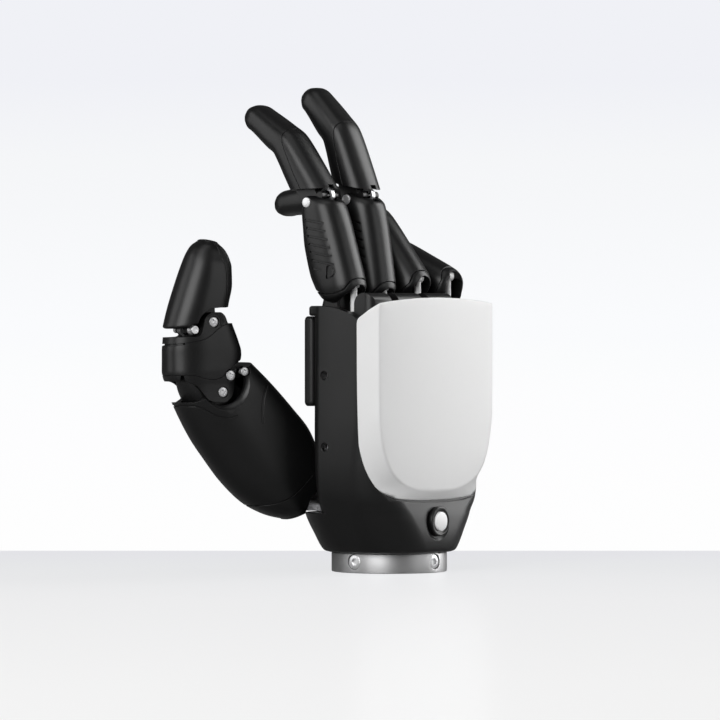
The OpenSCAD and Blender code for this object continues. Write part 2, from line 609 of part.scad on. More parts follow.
middle_stations = [
    [[-66.4, 73], [-40, 73.5], thumb_w - 4.4],
    [[-67.4, 78.5], [-38.2, 80], thumb_w - 3.6],
    [[-67.4, 86], [-37, 86], thumb_w - 3.6],
    [[-66.8, 92.5], [-41.6, 98], thumb_w - 4.2]
];
casing_region = [[-70, 75], [-61.6, 75.2], [-56, 76.2], [-50, 75.2], [-44.5, 78.8], [-36, 83.4],
    [-34, 97.6], [-43.5, 96.2], [-50, 92], [-57.7, 89.7], [-70, 89.4]];
frame_core = [[-60, 76], [-55.5, 70.4], [-52, 66.9], [-46.2, 66.3], [-42.8, 69.2], [-41.4, 72.9],
    [-41.2, 79], [-42, 86], [-46, 95], [-50, 101], [-55, 92], [-63, 90.5]];
ear_outline = [[-61, 74.9], [-55.5, 70.4], [-52, 66.9], [-46.2, 66.3], [-42.8, 69.2], [-41.4, 72.9],
    [-41, 78.9], [-44.5, 77.7], [-50, 74.9], [-56, 75.9]];
module thumb_middle_casing() color("#1c1c1e") in_thumb() difference() {
    intersection() {
        skin(casing_rings(middle_stations, 2.4, 5));
        side_prism(casing_region, 24);
    }
    side_prism([[-60.2, 60], [-60.2, 76], [-63.2, 90.5], [-30, 100], [-30, 60]], 2 * core_x + 0.1);
    at_pin(middle_at) cross_rod(5.2, 24);
}
module thumb_middle_frame() color("#2c2c2e") in_thumb() difference() {
    union() {
        for (s = [-1, 1]) {
            side_prism(frame_core, core_x - fork_x, s * (core_x + fork_x) / 2);
            side_prism(ear_outline, ear_half - fork_x, s * (ear_half + fork_x) / 2);
            at_pin(distal_at) cross_rod(9.4, ear_half - fork_x, [0, 0], s * (ear_half + fork_x) / 2);
        }
        // band above the casing's top edge, round the back
        intersection() {
            skin(casing_rings(middle_stations, 2.4, 5));
            side_prism([[-70, 89.5], [-58, 89.8], [-58, 92], [-63, 91.8], [-70, 91.4]], 24);
        }
    }
    // slot for the tip's link
    side_prism([[-64.4, 88.8], [-64.4, 99], [-30, 99], [-30, 88.8]], 2 * link_half);
    at_pin(middle_at) cross_rod(thumb_pin_d + 0.04, 24);
    at_pin(lever_at_middle) cross_rod(2.04, 24);
    at_pin(distal_at) cross_rod(3.04, 24);
    for (p = [middle_at, lever_at_middle, distal_at], s = [-1, 1])
        at_pin(p) cross_rod(5, 2, [0, 0], s * (ear_half + 0.2));
}
module thumb_middle_pins() color("silver") in_thumb() {
    at_pin(middle_at) screw_pair(thumb_pin_d, 2 * ear_half, 4.8, 0.8, 2 * link_half + 0.4);
    at_pin(lever_at_middle) screw_pair(2, 2 * ear_half, 4.8, 0.8, 2 * fork_x);
}
module thumb_distal_pin() color("silver") in_thumb() at_pin(distal_at)
    screw_pin(3, 2 * ear_half, 4.8, 0.8);
thumb_tip = [
    [[-67.2, 95.6], [-43.6, 97.6], thumb_w - 4.4],
    [[-65.4, 102], [-42.6, 104], thumb_w - 3.8],
    [[-61.8, 112.6], [-41, 112], thumb_w - 4.4],
    [[-58.8, 120.4], [-41, 118.4], thumb_w - 6],
    [[-56.2, 125.6], [-42.8, 123.6], thumb_w - 9.4],
    [[-53, 129], [-46.6, 127.8], thumb_w - 15.4]
];
module tip_skin() skin(casing_rings(thumb_tip, 2.1, 4.4));
pad_region = [[-46, 90], [-45, 118], [-48, 126], [-48, 132], [-36, 132], [-36, 90]];
module thumb_distal_casing() color("#1c1c1e") in_thumb() difference() {
    union() {
        difference() {
            tip_skin();
            side_prism([[-57.9, 90], [-57.9, 96.6], [-55.8, 100], [-52.5, 102.6], [-42, 103.6],
                [-42, 90]], 24);
            side_prism(pad_region, 24);
            at_pin(link_at_distal) cross_rod(5, 24);
        }
        for (s = [-1, 1]) {
            side_prism([[-60.6, 93], [-60, 99], [-56, 104], [-48, 104], [-47.4, 95],
                [-54, 92]], tongue_out - 1.9, s * (tongue_out + 1.9) / 2);
        }
    }
    at_pin(distal_at) cross_rod(3 + 2 * run_gap, 24);
    at_pin(link_at_distal) cross_rod(2.04, 24);
    side_prism([[-66, 88], [-66, 97], [-58, 99.4], [-50, 97], [-50, 88]], 2 * link_half);
}
module thumb_tip_pad() color("#232325") in_thumb() intersection() {
    tip_skin();
    side_prism(pad_region, 24);
    side_prism([[-50, 102.5], [-42, 103.6], [-30, 104], [-30, 140], [-60, 140]], 24);
}
module thumb_link_shaft() color("silver") in_thumb() at_pin(link_at_distal) cross_rod(2, 16);
module thumb_link() color("silver") in_thumb() {
    d = link_at_distal - link_at_base;
    at_pin(link_at_base) rotate([-atan2(d.x, d.y), 0, 0]) difference() {
        union() {
            cross_rod(4.4, 2.4);
            translate([0, 0, norm(d)]) cross_rod(6.4, 2.4);
            translate([-1.2, -1.4, 0]) cube([2.4, 2.8, norm(d)]);
        }
        cross_rod(2 + 2 * run_gap, 5);
        translate([0, 0, norm(d)]) cross_rod(4.4, 5);
    }
}

// ---- inside the palm ---------------------------------------------------------------------
actuator_d = 9;
actuator_z = [46, 79];
plate_y = 0.6;                  // front edge of the inner frame's plate
module at_actuator(i) translate([finger_x(i), knuckle_y + rod_y, 0]) children();
module finger_actuators() color("silver") for (i = [0:3]) at_actuator(i) difference() {
    union() {
        translate([0, 0, actuator_z[0]]) cylinder(d = actuator_d, h = actuator_z[1] - actuator_z[0] - 2);
        translate([0, 0, actuator_z[1] - 2]) cylinder(d = 6, h = 2);
    }
    translate([0, 0, actuator_z[0] + 8]) cylinder(d = 3 + 2 * run_gap, h = 40);
}
module inner_frame() color("gray") difference() {
    plate(frame_half, bar_back, plate_y, 7, 52, 4);
    for (i = [0:3]) at_actuator(i) translate([0, 0, 40]) cylinder(d = actuator_d + 0.1, h = 40);
}
module control_board() color("darkgreen") {
    translate([-28, plate_y + seat_gap, 38]) cube([56, 1.6, 50]);
    for (z = [44, 60, 74]) translate([-20, plate_y + seat_gap + 1.6, z]) cube([8, 1.2, 8]);
}
module thumb_rotation_bush() color("gray") translate([yaw_at.x, yaw_at.y, bush_z])
    difference() {
        cylinder(d = bush_d, h = shelf_z - bush_z);
        translate([0, 0, 0.4]) cylinder(d = yaw_shaft_d + 2 * run_gap, h = 12);
    }
module thumb_rotation_motor() color("dimgray") translate([yaw_at.x, -7, 30.1]) {
    cylinder(d = 12, h = 14);
    translate([0, 0, 14]) cylinder(d = 4, h = 1);
}
module housing_screws() color("silver") for (z = side_hole_z)
    translate([-palm_hw + 1.4, -2, z]) rotate([0, 90, 0]) difference() {
        cylinder(d = 2.4, h = 2);
        translate([0, 0, -tiny]) cylinder(d = 1.2, h = 0.8, $fn = 6);
    }
module button_bezel() color("black") translate([0, button_y - 0.9, button_z]) rotate([-90, 0, 0])
    difference() {
        cylinder(d = boss_d - 2.4, h = 1.8);
        translate([0, 0, -1]) cylinder(d = button_d + 2 * run_gap, h = 4);
    }
module power_button() color("white") translate([0, button_y - 0.9, button_z]) rotate([90, 0, 0]) {
    translate([0, 0, -2.7]) cylinder(d = button_d, h = 3.7);
    rotate_extrude() intersection() {
        translate([0, -6.6]) circle(r = 8.6, $fn = 96);
        translate([0, 0.9]) square([button_d / 2, 3]);
    }
    translate([0, 0, -2.8]) cylinder(d = button_d + 1.6, h = 0.8);
}

wrist_flange();
flange_screws();
wrist_connector();
palm_housing();
back_cover();
palm_pad();
knuckle_frame();
knuckle_pins();
inner_frame();
finger_actuators();
control_board();
thumb_rotation_motor();
thumb_rotation_bush();
housing_screws();
button_bezel();
power_button();
proximal_casing(0);  // index_proximal_casing
distal_body(0);  // index_distal_body
distal_cover(0);  // index_distal_cover
joint_screws(0);  // index_joint_screws
push_rod(0);  // index_push_rod
actuator_rod(0);  // index_actuator_rod
coupler_link(0);  // index_coupler_link
proximal_casing(1);  // middle_proximal_casing
distal_body(1);  // middle_distal_body
distal_cover(1);  // middle_distal_cover
joint_screws(1);  // middle_joint_screws
push_rod(1);  // middle_push_rod
actuator_rod(1);  // middle_actuator_rod
coupler_link(1);  // middle_coupler_link
proximal_casing(2);  // ring_proximal_casing
distal_body(2);  // ring_distal_body
distal_cover(2);  // ring_distal_cover
joint_screws(2);  // ring_joint_screws
push_rod(2);  // ring_push_rod
actuator_rod(2);  // ring_actuator_rod
coupler_link(2);  // ring_coupler_link
proximal_casing(3);  // little_proximal_casing
distal_body(3);  // little_distal_body
distal_cover(3);  // little_distal_cover
joint_screws(3);  // little_joint_screws
push_rod(3);  // little_push_rod
actuator_rod(3);  // little_actuator_rod
coupler_link(3);  // little_coupler_link
thumb_yaw_bracket();
thumb_pitch_pin();
thumb_end_cap();
thumb_base_casing();
thumb_base_frame();
thumb_actuator();
thumb_link_pin();
thumb_middle_frame();
thumb_middle_casing();
thumb_middle_pins();
thumb_distal_pin();
thumb_distal_casing();
thumb_tip_pad();
thumb_link_shaft();
thumb_link();
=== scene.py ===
"""Looks of the dexterous robot hand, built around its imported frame.

Every shell is made in millimetres, in the frame of its own link, and replaces the plain solid of
the same node. The dimensions follow the part's own source.
"""
import json
import math

import bmesh
import bpy
import numpy as np
from mathutils import Matrix, Vector


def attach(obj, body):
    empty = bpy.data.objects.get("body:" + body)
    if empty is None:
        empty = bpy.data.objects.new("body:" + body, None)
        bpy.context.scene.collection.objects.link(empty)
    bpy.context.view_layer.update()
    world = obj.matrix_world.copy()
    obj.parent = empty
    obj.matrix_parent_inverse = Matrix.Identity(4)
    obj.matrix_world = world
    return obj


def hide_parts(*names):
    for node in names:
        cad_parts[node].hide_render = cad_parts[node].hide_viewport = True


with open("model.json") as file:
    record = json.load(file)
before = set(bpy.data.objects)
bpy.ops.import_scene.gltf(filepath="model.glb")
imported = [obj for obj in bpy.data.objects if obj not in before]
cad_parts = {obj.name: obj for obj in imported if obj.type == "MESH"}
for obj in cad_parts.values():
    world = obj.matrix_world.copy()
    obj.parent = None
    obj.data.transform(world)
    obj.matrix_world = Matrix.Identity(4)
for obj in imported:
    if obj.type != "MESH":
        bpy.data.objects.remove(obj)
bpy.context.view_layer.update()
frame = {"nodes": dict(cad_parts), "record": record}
NODES = frame["nodes"]
MM = 0.001          # metres in a millimetre
scene = bpy.context.scene

# ---- camera ---------------------------------------------------------------------------
VIEW_AZ = math.radians(-52)
VIEW_EL = math.radians(0.6)
TARGET = Vector((-0.007, 0.009, 0.0823))
DISTANCE, LENS, SENSOR, CLIP_END = 2.0, 256.4, 36, 40
FORWARD = Vector((-math.sin(VIEW_AZ) * math.cos(VIEW_EL), math.cos(VIEW_AZ) * math.cos(VIEW_EL),
                  -math.sin(VIEW_EL)))
camera = bpy.data.objects.new("camera", bpy.data.cameras.new("camera"))
scene.collection.objects.link(camera)
camera.location = TARGET - FORWARD * DISTANCE
camera.rotation_euler = FORWARD.to_track_quat("-Z", "Y").to_euler()
camera.data.sensor_width = SENSOR
camera.data.lens = LENS
camera.data.clip_end = CLIP_END
scene.camera = camera
scene.view_settings.view_transform = "Standard"
FLAT_FORWARD = Vector((FORWARD.x, FORWARD.y, 0)).normalized()


# ---- shader helpers -------------------------------------------------------------------
def srgb(v):
    """Linear value of a display value from 0 to 255."""
    v = v / 255
    return v / 12.92 if v <= 0.04045 else ((v + 0.055) / 1.055) ** 2.4


def grey(r, g, b):
    return (srgb(r), srgb(g), srgb(b), 1)


class Shader:
    """Small builder of node trees."""

    def __init__(self, tree):
        self.tree = tree
        self.tree.nodes.clear()

    def add(self, kind, **settings):
        node = self.tree.nodes.new("ShaderNode" + kind)
        for key, value in settings.items():
            if hasattr(node, key) and key not in node.inputs:
                setattr(node, key, value)
            else:
                self.set(node, key, value)
        return node

    def set(self, node, key, value):
        socket = node.inputs[key]
        if isinstance(value, bpy.types.NodeSocket):
            self.tree.links.new(value, socket)
        else:
            socket.default_value = value

    def math(self, op, a, b):
        node = self.add("Math", operation=op)
        for i, value in enumerate((a, b)):
            self.set(node, i, value)
        return node.outputs[0]

    def part(self, value, low, high):
        """How far a value lies from low to high, from 0 to 1."""
        node = self.add("MapRange")
        for i, v in enumerate((value, low, high)):
            self.set(node, i, v)
        return node.outputs[0]

    def pick(self, factor, first, second):
        """Mix of two shaders."""
        node = self.add("MixShader")
        for i, v in enumerate((factor, first, second)):
            self.set(node, i, v)
        return node.outputs[0]

    def ramp(self, factor, stops):
        node = self.add("ValToRGB")
        self.tree.links.new(factor, node.inputs[0])
        elements = node.color_ramp.elements
        while len(elements) < len(stops):
            elements.new(0.5)
        for element, (pos, color) in zip(elements, stops):
            element.position = pos
            element.color = color
        return node.outputs[0]

    def blend(self, factor, first, second):
        """Mix of two colours."""
        node = self.add("Mix", data_type="RGBA", blend_type="MIX")
        for i, v in ((0, factor), (6, first), (7, second)):
            self.set(node, i, v)
        return node.outputs[2]

    def spread(self, factor, low, high):
        """A factor from 0 to 1 stretched from low to high."""
        node = self.add("MapRange")
        for i, v in ((0, factor), (3, low), (4, high)):
            self.set(node, i, v)
        return node.outputs[0]


def material(name):
    mat = bpy.data.materials.new(name)
    mat.use_nodes = True
    return mat, Shader(mat.node_tree)


def surface(name, color, roughness, grain, grain_depth, rough_spread=0.06, tint=0.08, edge=0.25,
            metallic=0.0, specular=0.5, brushed=0.0, stretch=(1, 1, 1)):
    """A moulded or machined finish: fine grain, slow unevenness, and softened edges."""
    mat, s = material(name)
    place = s.add("TexCoord").outputs["Object"]
    mapped = s.add("Mapping", Vector=place, Scale=tuple(grain * k for k in stretch))
    fine = s.add("TexNoise", Vector=mapped.outputs[0], Scale=1.0, Detail=3.0, Roughness=0.6)
    slow = s.add("TexNoise", Vector=place, Scale=60.0, Detail=2.0)
    shade = s.blend(slow.outputs["Fac"], (*[c * (1 - tint) for c in color], 1),
                    (*[min(1, c * (1 + tint)) for c in color], 1))
    halves = [s.math("MULTIPLY", noise.outputs["Fac"], 0.5) for noise in (fine, slow)]
    rough = s.spread(s.math("ADD", *halves), roughness - rough_spread, roughness + rough_spread)
    soft = s.add("Bevel", samples=4, Radius=edge * MM)
    bump = s.add("Bump", Height=fine.outputs["Fac"], Strength=1.0, Distance=grain_depth * MM,
                 Normal=soft.outputs[0])
    shader = s.add("BsdfPrincipled", Roughness=rough, Metallic=metallic, Normal=bump.outputs[0])
    s.set(shader, "Base Color", shade)
    s.set(shader, "Specular IOR Level", specular)
    if brushed:
        s.set(shader, "Anisotropic", brushed)
        s.set(shader, "Anisotropic Rotation", 0.25)
        s.set(shader, "Tangent", s.add("Tangent", direction_type="RADIAL", axis="Z").outputs[0])
    s.add("OutputMaterial", Surface=shader.outputs[0])
    return mat


BLACK = surface("shell_black", (0.0042, 0.0042, 0.0044), 0.36, 3200, 0.004, specular=0.45)
WHITE = surface("cover_white", (0.8, 0.8, 0.8), 0.32, 2600, 0.002, tint=0.01, specular=0.5)
BUTTON = surface("button_white", (1.0, 1.0, 1.0), 0.35, 2600, 0.001, tint=0.005, specular=0.6, edge=0.1)
ROD = surface("rod_white", (0.78, 0.78, 0.78), 0.35, 2600, 0.002, tint=0.02)
DARK = surface("dark_plastic", (0.003, 0.003, 0.003), 0.3, 2600, 0.004)
RUBBER = surface("pad_rubber", (0.005, 0.005, 0.0052), 0.46, 2200, 0.008, specular=0.42)
FLANGE = surface("flange_metal", (0.58, 0.58, 0.585), 0.56, 900, 0.004, metallic=1.0,
                 stretch=(0.02, 0.02, 9), tint=0.03, brushed=0.67)
STEEL = surface("screw_steel", (0.8, 0.8, 0.81), 0.34, 3000, 0.003, metallic=0.75, edge=0.12)
FRAME = surface("frame_metal", (0.004, 0.004, 0.0042), 0.38, 3000, 0.004, edge=0.2, specular=0.45)
LINK = surface("link_metal", (0.5, 0.5, 0.51), 0.35, 2400, 0.004, metallic=1.0, edge=0.15)
BY_SLOT = {"shell_black": BLACK, "cover_white": WHITE, "rod_white": ROD, "dark_plastic": DARK,
           "pad_rubber": RUBBER, "flange_metal": FLANGE, "screw_steel": STEEL, "frame_metal": FRAME,
           "link_metal": LINK}
SLOT_OF = {p["node"]: p["material_slot"] for p in frame["record"]["subparts"]}
for name, obj in NODES.items():
    obj.data.materials.clear()
    obj.data.materials.append(BY_SLOT[SLOT_OF[name]])


# ---- shape helpers, in millimetres ----------------------------------------------------
RING = 88           # points round a lofted casing
FINE = 1440         # points from which a ring is spaced evenly
STEPS = 5           # rings between two stations


def power_wave(s, k):
    """Sine or cosine bent to the wave of a superellipse with power k."""
    return math.copysign(abs(s) ** (2 / k), s)


def even_ring(w, kb, kf):
    """Superellipse outline as (x, v), evenly spaced; v is 0 at the back and 1 at the front.

    kb and kf are the powers of the back and the front half: 2 is round, more is squarer.
    """
    fine = []
    for i in range(FINE):
        a = 2 * math.pi * i / FINE
        k = kb if math.sin(a) < 0 else kf
        fine.append((power_wave(math.cos(a), k), power_wave(math.sin(a), k)))
    loop = np.array(fine + fine[:1])
    total = np.concatenate([[0], np.cumsum(np.linalg.norm(np.diff(loop, axis=0), axis=1))])
    at = (np.arange(RING) + 0.5) / RING * total[-1]
    x = np.interp(at, total, loop[:, 0]) * w / 2
    v = (1 + np.interp(at, total, loop[:, 1])) / 2
    return x, v


def ring(back, front, w, kb, kf):
    """One ring of a casing, w wide, from a back to a front point of (y, z)."""
    x, v = even_ring(w, kb, kf)
    return np.stack([x, back[0] + (front[0] - back[0]) * v, back[1] + (front[1] - back[1]) * v], 1)


def spline(rows, steps=STEPS):
    """Rows of numbers with smooth rows put between them."""
    rows = np.array(rows, float)
    n = len(rows)
    gap = np.maximum(np.linalg.norm(np.diff(rows, axis=0), axis=1), 1e-6)
    slope = np.diff(rows, axis=0) / gap[:, None]
    tangent = np.zeros_like(rows)
    tangent[0], tangent[-1] = slope[0], slope[-1]
    for i in range(1, n - 1):
        a, b = slope[i - 1], slope[i]
        same = a * b > 0
        wa, wb = 2 * gap[i] + gap[i - 1], gap[i] + 2 * gap[i - 1]
        with np.errstate(divide="ignore", invalid="ignore"):
            tangent[i] = np.where(same, (wa + wb) / (wa / a + wb / b), 0)
    out = []
    for i in range(n - 1):
        for s in range(steps):
            t = s / steps
            h = gap[i]
            out.append((2 * t**3 - 3 * t**2 + 1) * rows[i] + (t**3 - 2 * t**2 + t) * h * tangent[i]
                       + (-2 * t**3 + 3 * t**2) * rows[i + 1] + (t**3 - t**2) * h * tangent[i + 1])
    out.append(rows[-1])
    return np.array(out)


def casing(stations, kb, kf, inset=0.0, steps=STEPS):
    """Rings of a casing from stations of (back, front, width), thinned by inset."""
    rows = spline([[*b, *f, w] for b, f, w in stations], steps)
    rings = []
    for by, bz, fy, fz, w in rows:
        b, f = np.array([by, bz]), np.array([fy, fz])
        u = (f - b) / np.linalg.norm(f - b) * inset
        rings.append(ring(b + u, f - u, w - 2 * inset, kb, kf))
    return rings


def to_mesh(name, verts, faces):
    mesh = bpy.data.meshes.new(name)
    mesh.from_pydata([tuple(v) for v in verts], [], faces)
    mesh.update()
    obj = bpy.data.objects.new(name, mesh)
    scene.collection.objects.link(obj)
    return obj


def outward(obj):
    """Turns a closed mesh's faces outwards."""
    bm = bmesh.new()
    bm.from_mesh(obj.data)
    bmesh.ops.recalc_face_normals(bm, faces=bm.faces)
    bm.to_mesh(obj.data)
    bm.free()
    return obj


def loft(name, rings):
    """Closed mesh through rings of as many points each, with a fan at both ends."""
    n = len(rings[0])
    verts = [p for r in rings for p in r]
    faces = []
    for i in range(len(rings) - 1):
        for j in range(n):
            a, b = i * n + j, i * n + (j + 1) % n
            faces.append((a, b, b + n, a + n))
    for start, turn in ((0, -1), ((len(rings) - 1) * n, 1)):
        centre = len(verts)
        verts.append(np.mean(rings[0 if start == 0 else -1], 0))
        for j in range(n):
            a, b = start + j, start + (j + 1) % n
            faces.append((a, b, centre) if turn > 0 else (b, a, centre))
    return outward(to_mesh(name, verts, faces))


def domed(rings, height, steps=5, first=False, flat=0.55):
    """Rings with a rounded end of that height, at the last ring or at the first."""
    end = rings[0] if first else rings[-1]
    nxt = rings[1] if first else rings[-2]
    mid = end.mean(0)
    way = mid - nxt.mean(0)
    way /= np.linalg.norm(way)
    extra = []
    for s in range(1, steps + 1):
        a = math.pi / 2 * s / steps
        extra.append(mid + (end - mid) * (1 - (1 - flat) * (1 - math.cos(a))) + way * height * math.sin(a))
    return extra[::-1] + list(rings) if first else list(rings) + extra


def prism(name, outline, width, x=0.0):
    """Prism along X over an outline of (y, z) points."""
    n = len(outline)
    verts = [(x + s * width / 2, y, z) for s in (-1, 1) for y, z in outline]
    faces = [tuple(range(n - 1, -1, -1)), tuple(range(n, 2 * n))]
    faces += [(j, (j + 1) % n, n + (j + 1) % n, n + j) for j in range(n)]
    return outward(to_mesh(name, verts, faces))


def circle(radius, count):
    return [(radius * math.cos(2 * math.pi * i / count), radius * math.sin(2 * math.pi * i / count))
            for i in range(count)]


def disc(name, d, width, at=(0, 0), x=0.0, count=64):
    """Cylinder along X, its middle at x and at the (y, z) point at."""
    return prism(name, [(at[0] + y, at[1] + z) for y, z in circle(d / 2, count)], width, x)


def rounded(points, radius, steps=5, closed=True):
    """Outline with each corner turned into an arc-like curve that starts radius away from it."""
    n = len(points)
    out = []
    for i in range(n):
        p = np.array(points[i], float)
        if not closed and i in (0, n - 1):
            out.append(tuple(p))
            continue
        a, b = np.array(points[i - 1], float), np.array(points[(i + 1) % n], float)
        ra = min(radius, 0.45 * np.linalg.norm(a - p))
        rb = min(radius, 0.45 * np.linalg.norm(b - p))
        s = p + (a - p) / np.linalg.norm(a - p) * ra
        e = p + (b - p) / np.linalg.norm(b - p) * rb
        for k in range(steps + 1):
            t = k / steps
            out.append(tuple((1 - t) ** 2 * s + 2 * t * (1 - t) * p + t**2 * e))
    return out


def pairs(line):
    return [tuple(p) for p in line]


def strip(line, width):
    """Closed outline of that width round an open line of (y, z) points."""
    line = np.array(line, float)
    way = np.gradient(line, axis=0)
    way /= np.linalg.norm(way, axis=1)[:, None]
    side = np.stack([-way[:, 1], way[:, 0]], 1) * width / 2
    return pairs(np.vstack([line + side, (line - side)[::-1]]))


def combine(obj, tool, operation):
    """Cuts, joins or overlaps obj with tool, which is used up."""
    bpy.context.view_layer.update()
    mod = obj.modifiers.new("cut", "BOOLEAN")
    mod.object = tool
    mod.operation = operation
    mod.solver = "MANIFOLD"
    bpy.context.view_layer.update()
    graph = bpy.context.evaluated_depsgraph_get()
    mesh = bpy.data.meshes.new_from_object(obj.evaluated_get(graph))
    old = obj.data
    obj.modifiers.clear()
    if len(mesh.polygons) == 0:
        raise RuntimeError("empty result: " + obj.name + " " + operation + " " + tool.name)
    obj.data = mesh
    bpy.data.meshes.remove(old)
    bpy.data.objects.remove(tool)
    return obj


def minus(obj, *tools):
    for tool in tools:
        combine(obj, tool, "DIFFERENCE")
    return obj


def plus(obj, *tools):
    for tool in tools:
        combine(obj, tool, "UNION")
    return obj


def common(obj, tool):
    return combine(obj, tool, "INTERSECT")


def joined(pieces):
    return plus(pieces[0], *pieces[1:])


def slab(hx, y0, y1, rb, rf, z, count=12):
    """Rectangle with round corners at one height, from the back left corner round."""
    out = []
    for c in range(4):
        r = rb if c < 2 else rf
        cx, cy = (-hx + r if c in (0, 3) else hx - r), (y0 + r if c < 2 else y1 - r)
        for s in range(count + 1):
            a = math.radians(180 + 90 * c + 90 * s / count)
            out.append((cx + r * math.cos(a), cy + r * math.sin(a), z))
    return np.array(out)


def upright(ring_points, y):
    """The same outline stood up, with its heights along Z."""
    return np.array([(p[0], y, p[1]) for p in ring_points])


def lathe(name, profile, count=96):
    """Turned piece about Z from its profile of (radius, z)."""
    return loft(name, [np.array([(x, y, z) for x, y in circle(r, count)]) for r, z in profile])


def stand(obj, matrix):
    """Moves a tool or a piece while it is still in millimetres."""
    obj.data.transform(matrix)
    return obj


def spin(degrees, axis):
    return Matrix.Rotation(math.radians(degrees), 4, axis)


def shift(x, y, z):
    return Matrix.Translation((x, y, z))


def score(obj, inner_rings, line, width):
    """Cuts a groove along a line of (y, z) points, as deep as the inner rings lie under the skin."""
    tool = prism("score", strip(line, width), 60)
    minus(tool, loft("core", inner_rings))
    return minus(obj, tool)


def place(obj, matrix, body, node, mat, sharp=32):
    """Moves a piece from its link's frame in millimetres to the shared one, and gives it its finish.

    Edges sharper than that many degrees stay hard.
    """
    obj.data.transform(matrix @ Matrix.Diagonal((MM, MM, MM, 1)))
    obj.name = node + "_shell"
    obj.data.materials.clear()
    obj.data.materials.append(mat)
    for face in obj.data.polygons:
        face.use_smooth = True
    obj.data.set_sharp_from_angle(angle=math.radians(sharp))
    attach(obj, body)
    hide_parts(node)
    return obj


# ---- fingers --------------------------------------------------------------------------
# In a link's own frame X runs across the finger, Y points to the palm and Z to the tip.
FINGERS = ("index", "middle", "ring", "little")
PITCH, KNUCKLE_Y, KNUCKLE_Z = 19.6, 0.4, 116.0
DROP = (0, 0, 0, 2.6)                   # how much lower a finger's knuckle is
TILT = (17.4, 9.0, 38.0, 65.0)          # degrees the first link leans to the palm at rest
CURL_RATIO, CURL_BACK = 1.064, 2.6      # the second link's bend for each degree of the first
CURL_EXTRA = (0, 4, -5, 0)
LINK_LENGTH, LEAN = 29.5, math.radians(5)
JOINT = (LINK_LENGTH * math.sin(LEAN), LINK_LENGTH * math.cos(LEAN))
LEVER = (-4.5, -5.362)                  # pin of the push rod
TIP = (49.0, 49.0, 42.0, 40.0)          # length of each second link
TIP_DRAWN = 49.6                        # length for which DISTAL is written
W = 17.0                                # width of a finger
SIDES = (-1, 1)


def knuckle(i):
    """(x, y, z) of a finger's first joint."""
    return (i - 1.5) * PITCH, KNUCKLE_Y, KNUCKLE_Z - DROP[i]


def first_link(i):
    return shift(*knuckle(i)) @ spin(-TILT[i], "X")


def second_link(i):
    curl = CURL_RATIO * TILT[i] - CURL_BACK + CURL_EXTRA[i]
    return first_link(i) @ shift(0, *JOINT) @ spin(-curl, "X")


def in_metres(matrix):
    """The same placing, in millimetres, for a mesh that is already in metres."""
    m = matrix.copy()
    m.translation = m.translation * MM
    return m


# stations of a casing: back (y, z), front (y, z), width
PROXIMAL = [((-1, -11.2), (5.5, -10.4), W - 6), ((-6.8, -8.6), (8.4, -8.2), W - 1.6),
            ((-8, -5.6), (10.6, -3), W - 0.2), ((-8.2, 0), (11.5, 3), W), ((-8.2, 13.3), (11, 12.8), W),
            ((-8, 21), (9.4, 21), W - 0.2), ((-7.4, 26), (8.2, 26.4), W - 0.6),
            ((-5.6, 28.4), (6.8, 30), W - 1.8), ((-2, 30.4), (4.4, 32.2), W - 4)]
PROXIMAL_POWERS = (2.3, 3.4)
EAR_OUT = 5.2                           # half width of the room for the knuckle's ears
FORK_GAP = 5.2                          # half width of the fork round the second link
BAND = [(16, -3.6), (9.6, -4.2), (6.4, -6.2), (3, -7.6), (-0.2, -8.2), (-3.4, -8.1), (-5.4, -6.8), (-7, -5.2),
        (-9, -4.4), (-14, -4.2)]


GROOVES = [((5.0 + 0.33 * k, 23.2 - 3.17 * k), (-3.05, 19.1 - 3.33 * k)) for k in range(6)]
GROOVES += [((7.2, 4.07), (3.05, 2.2))]


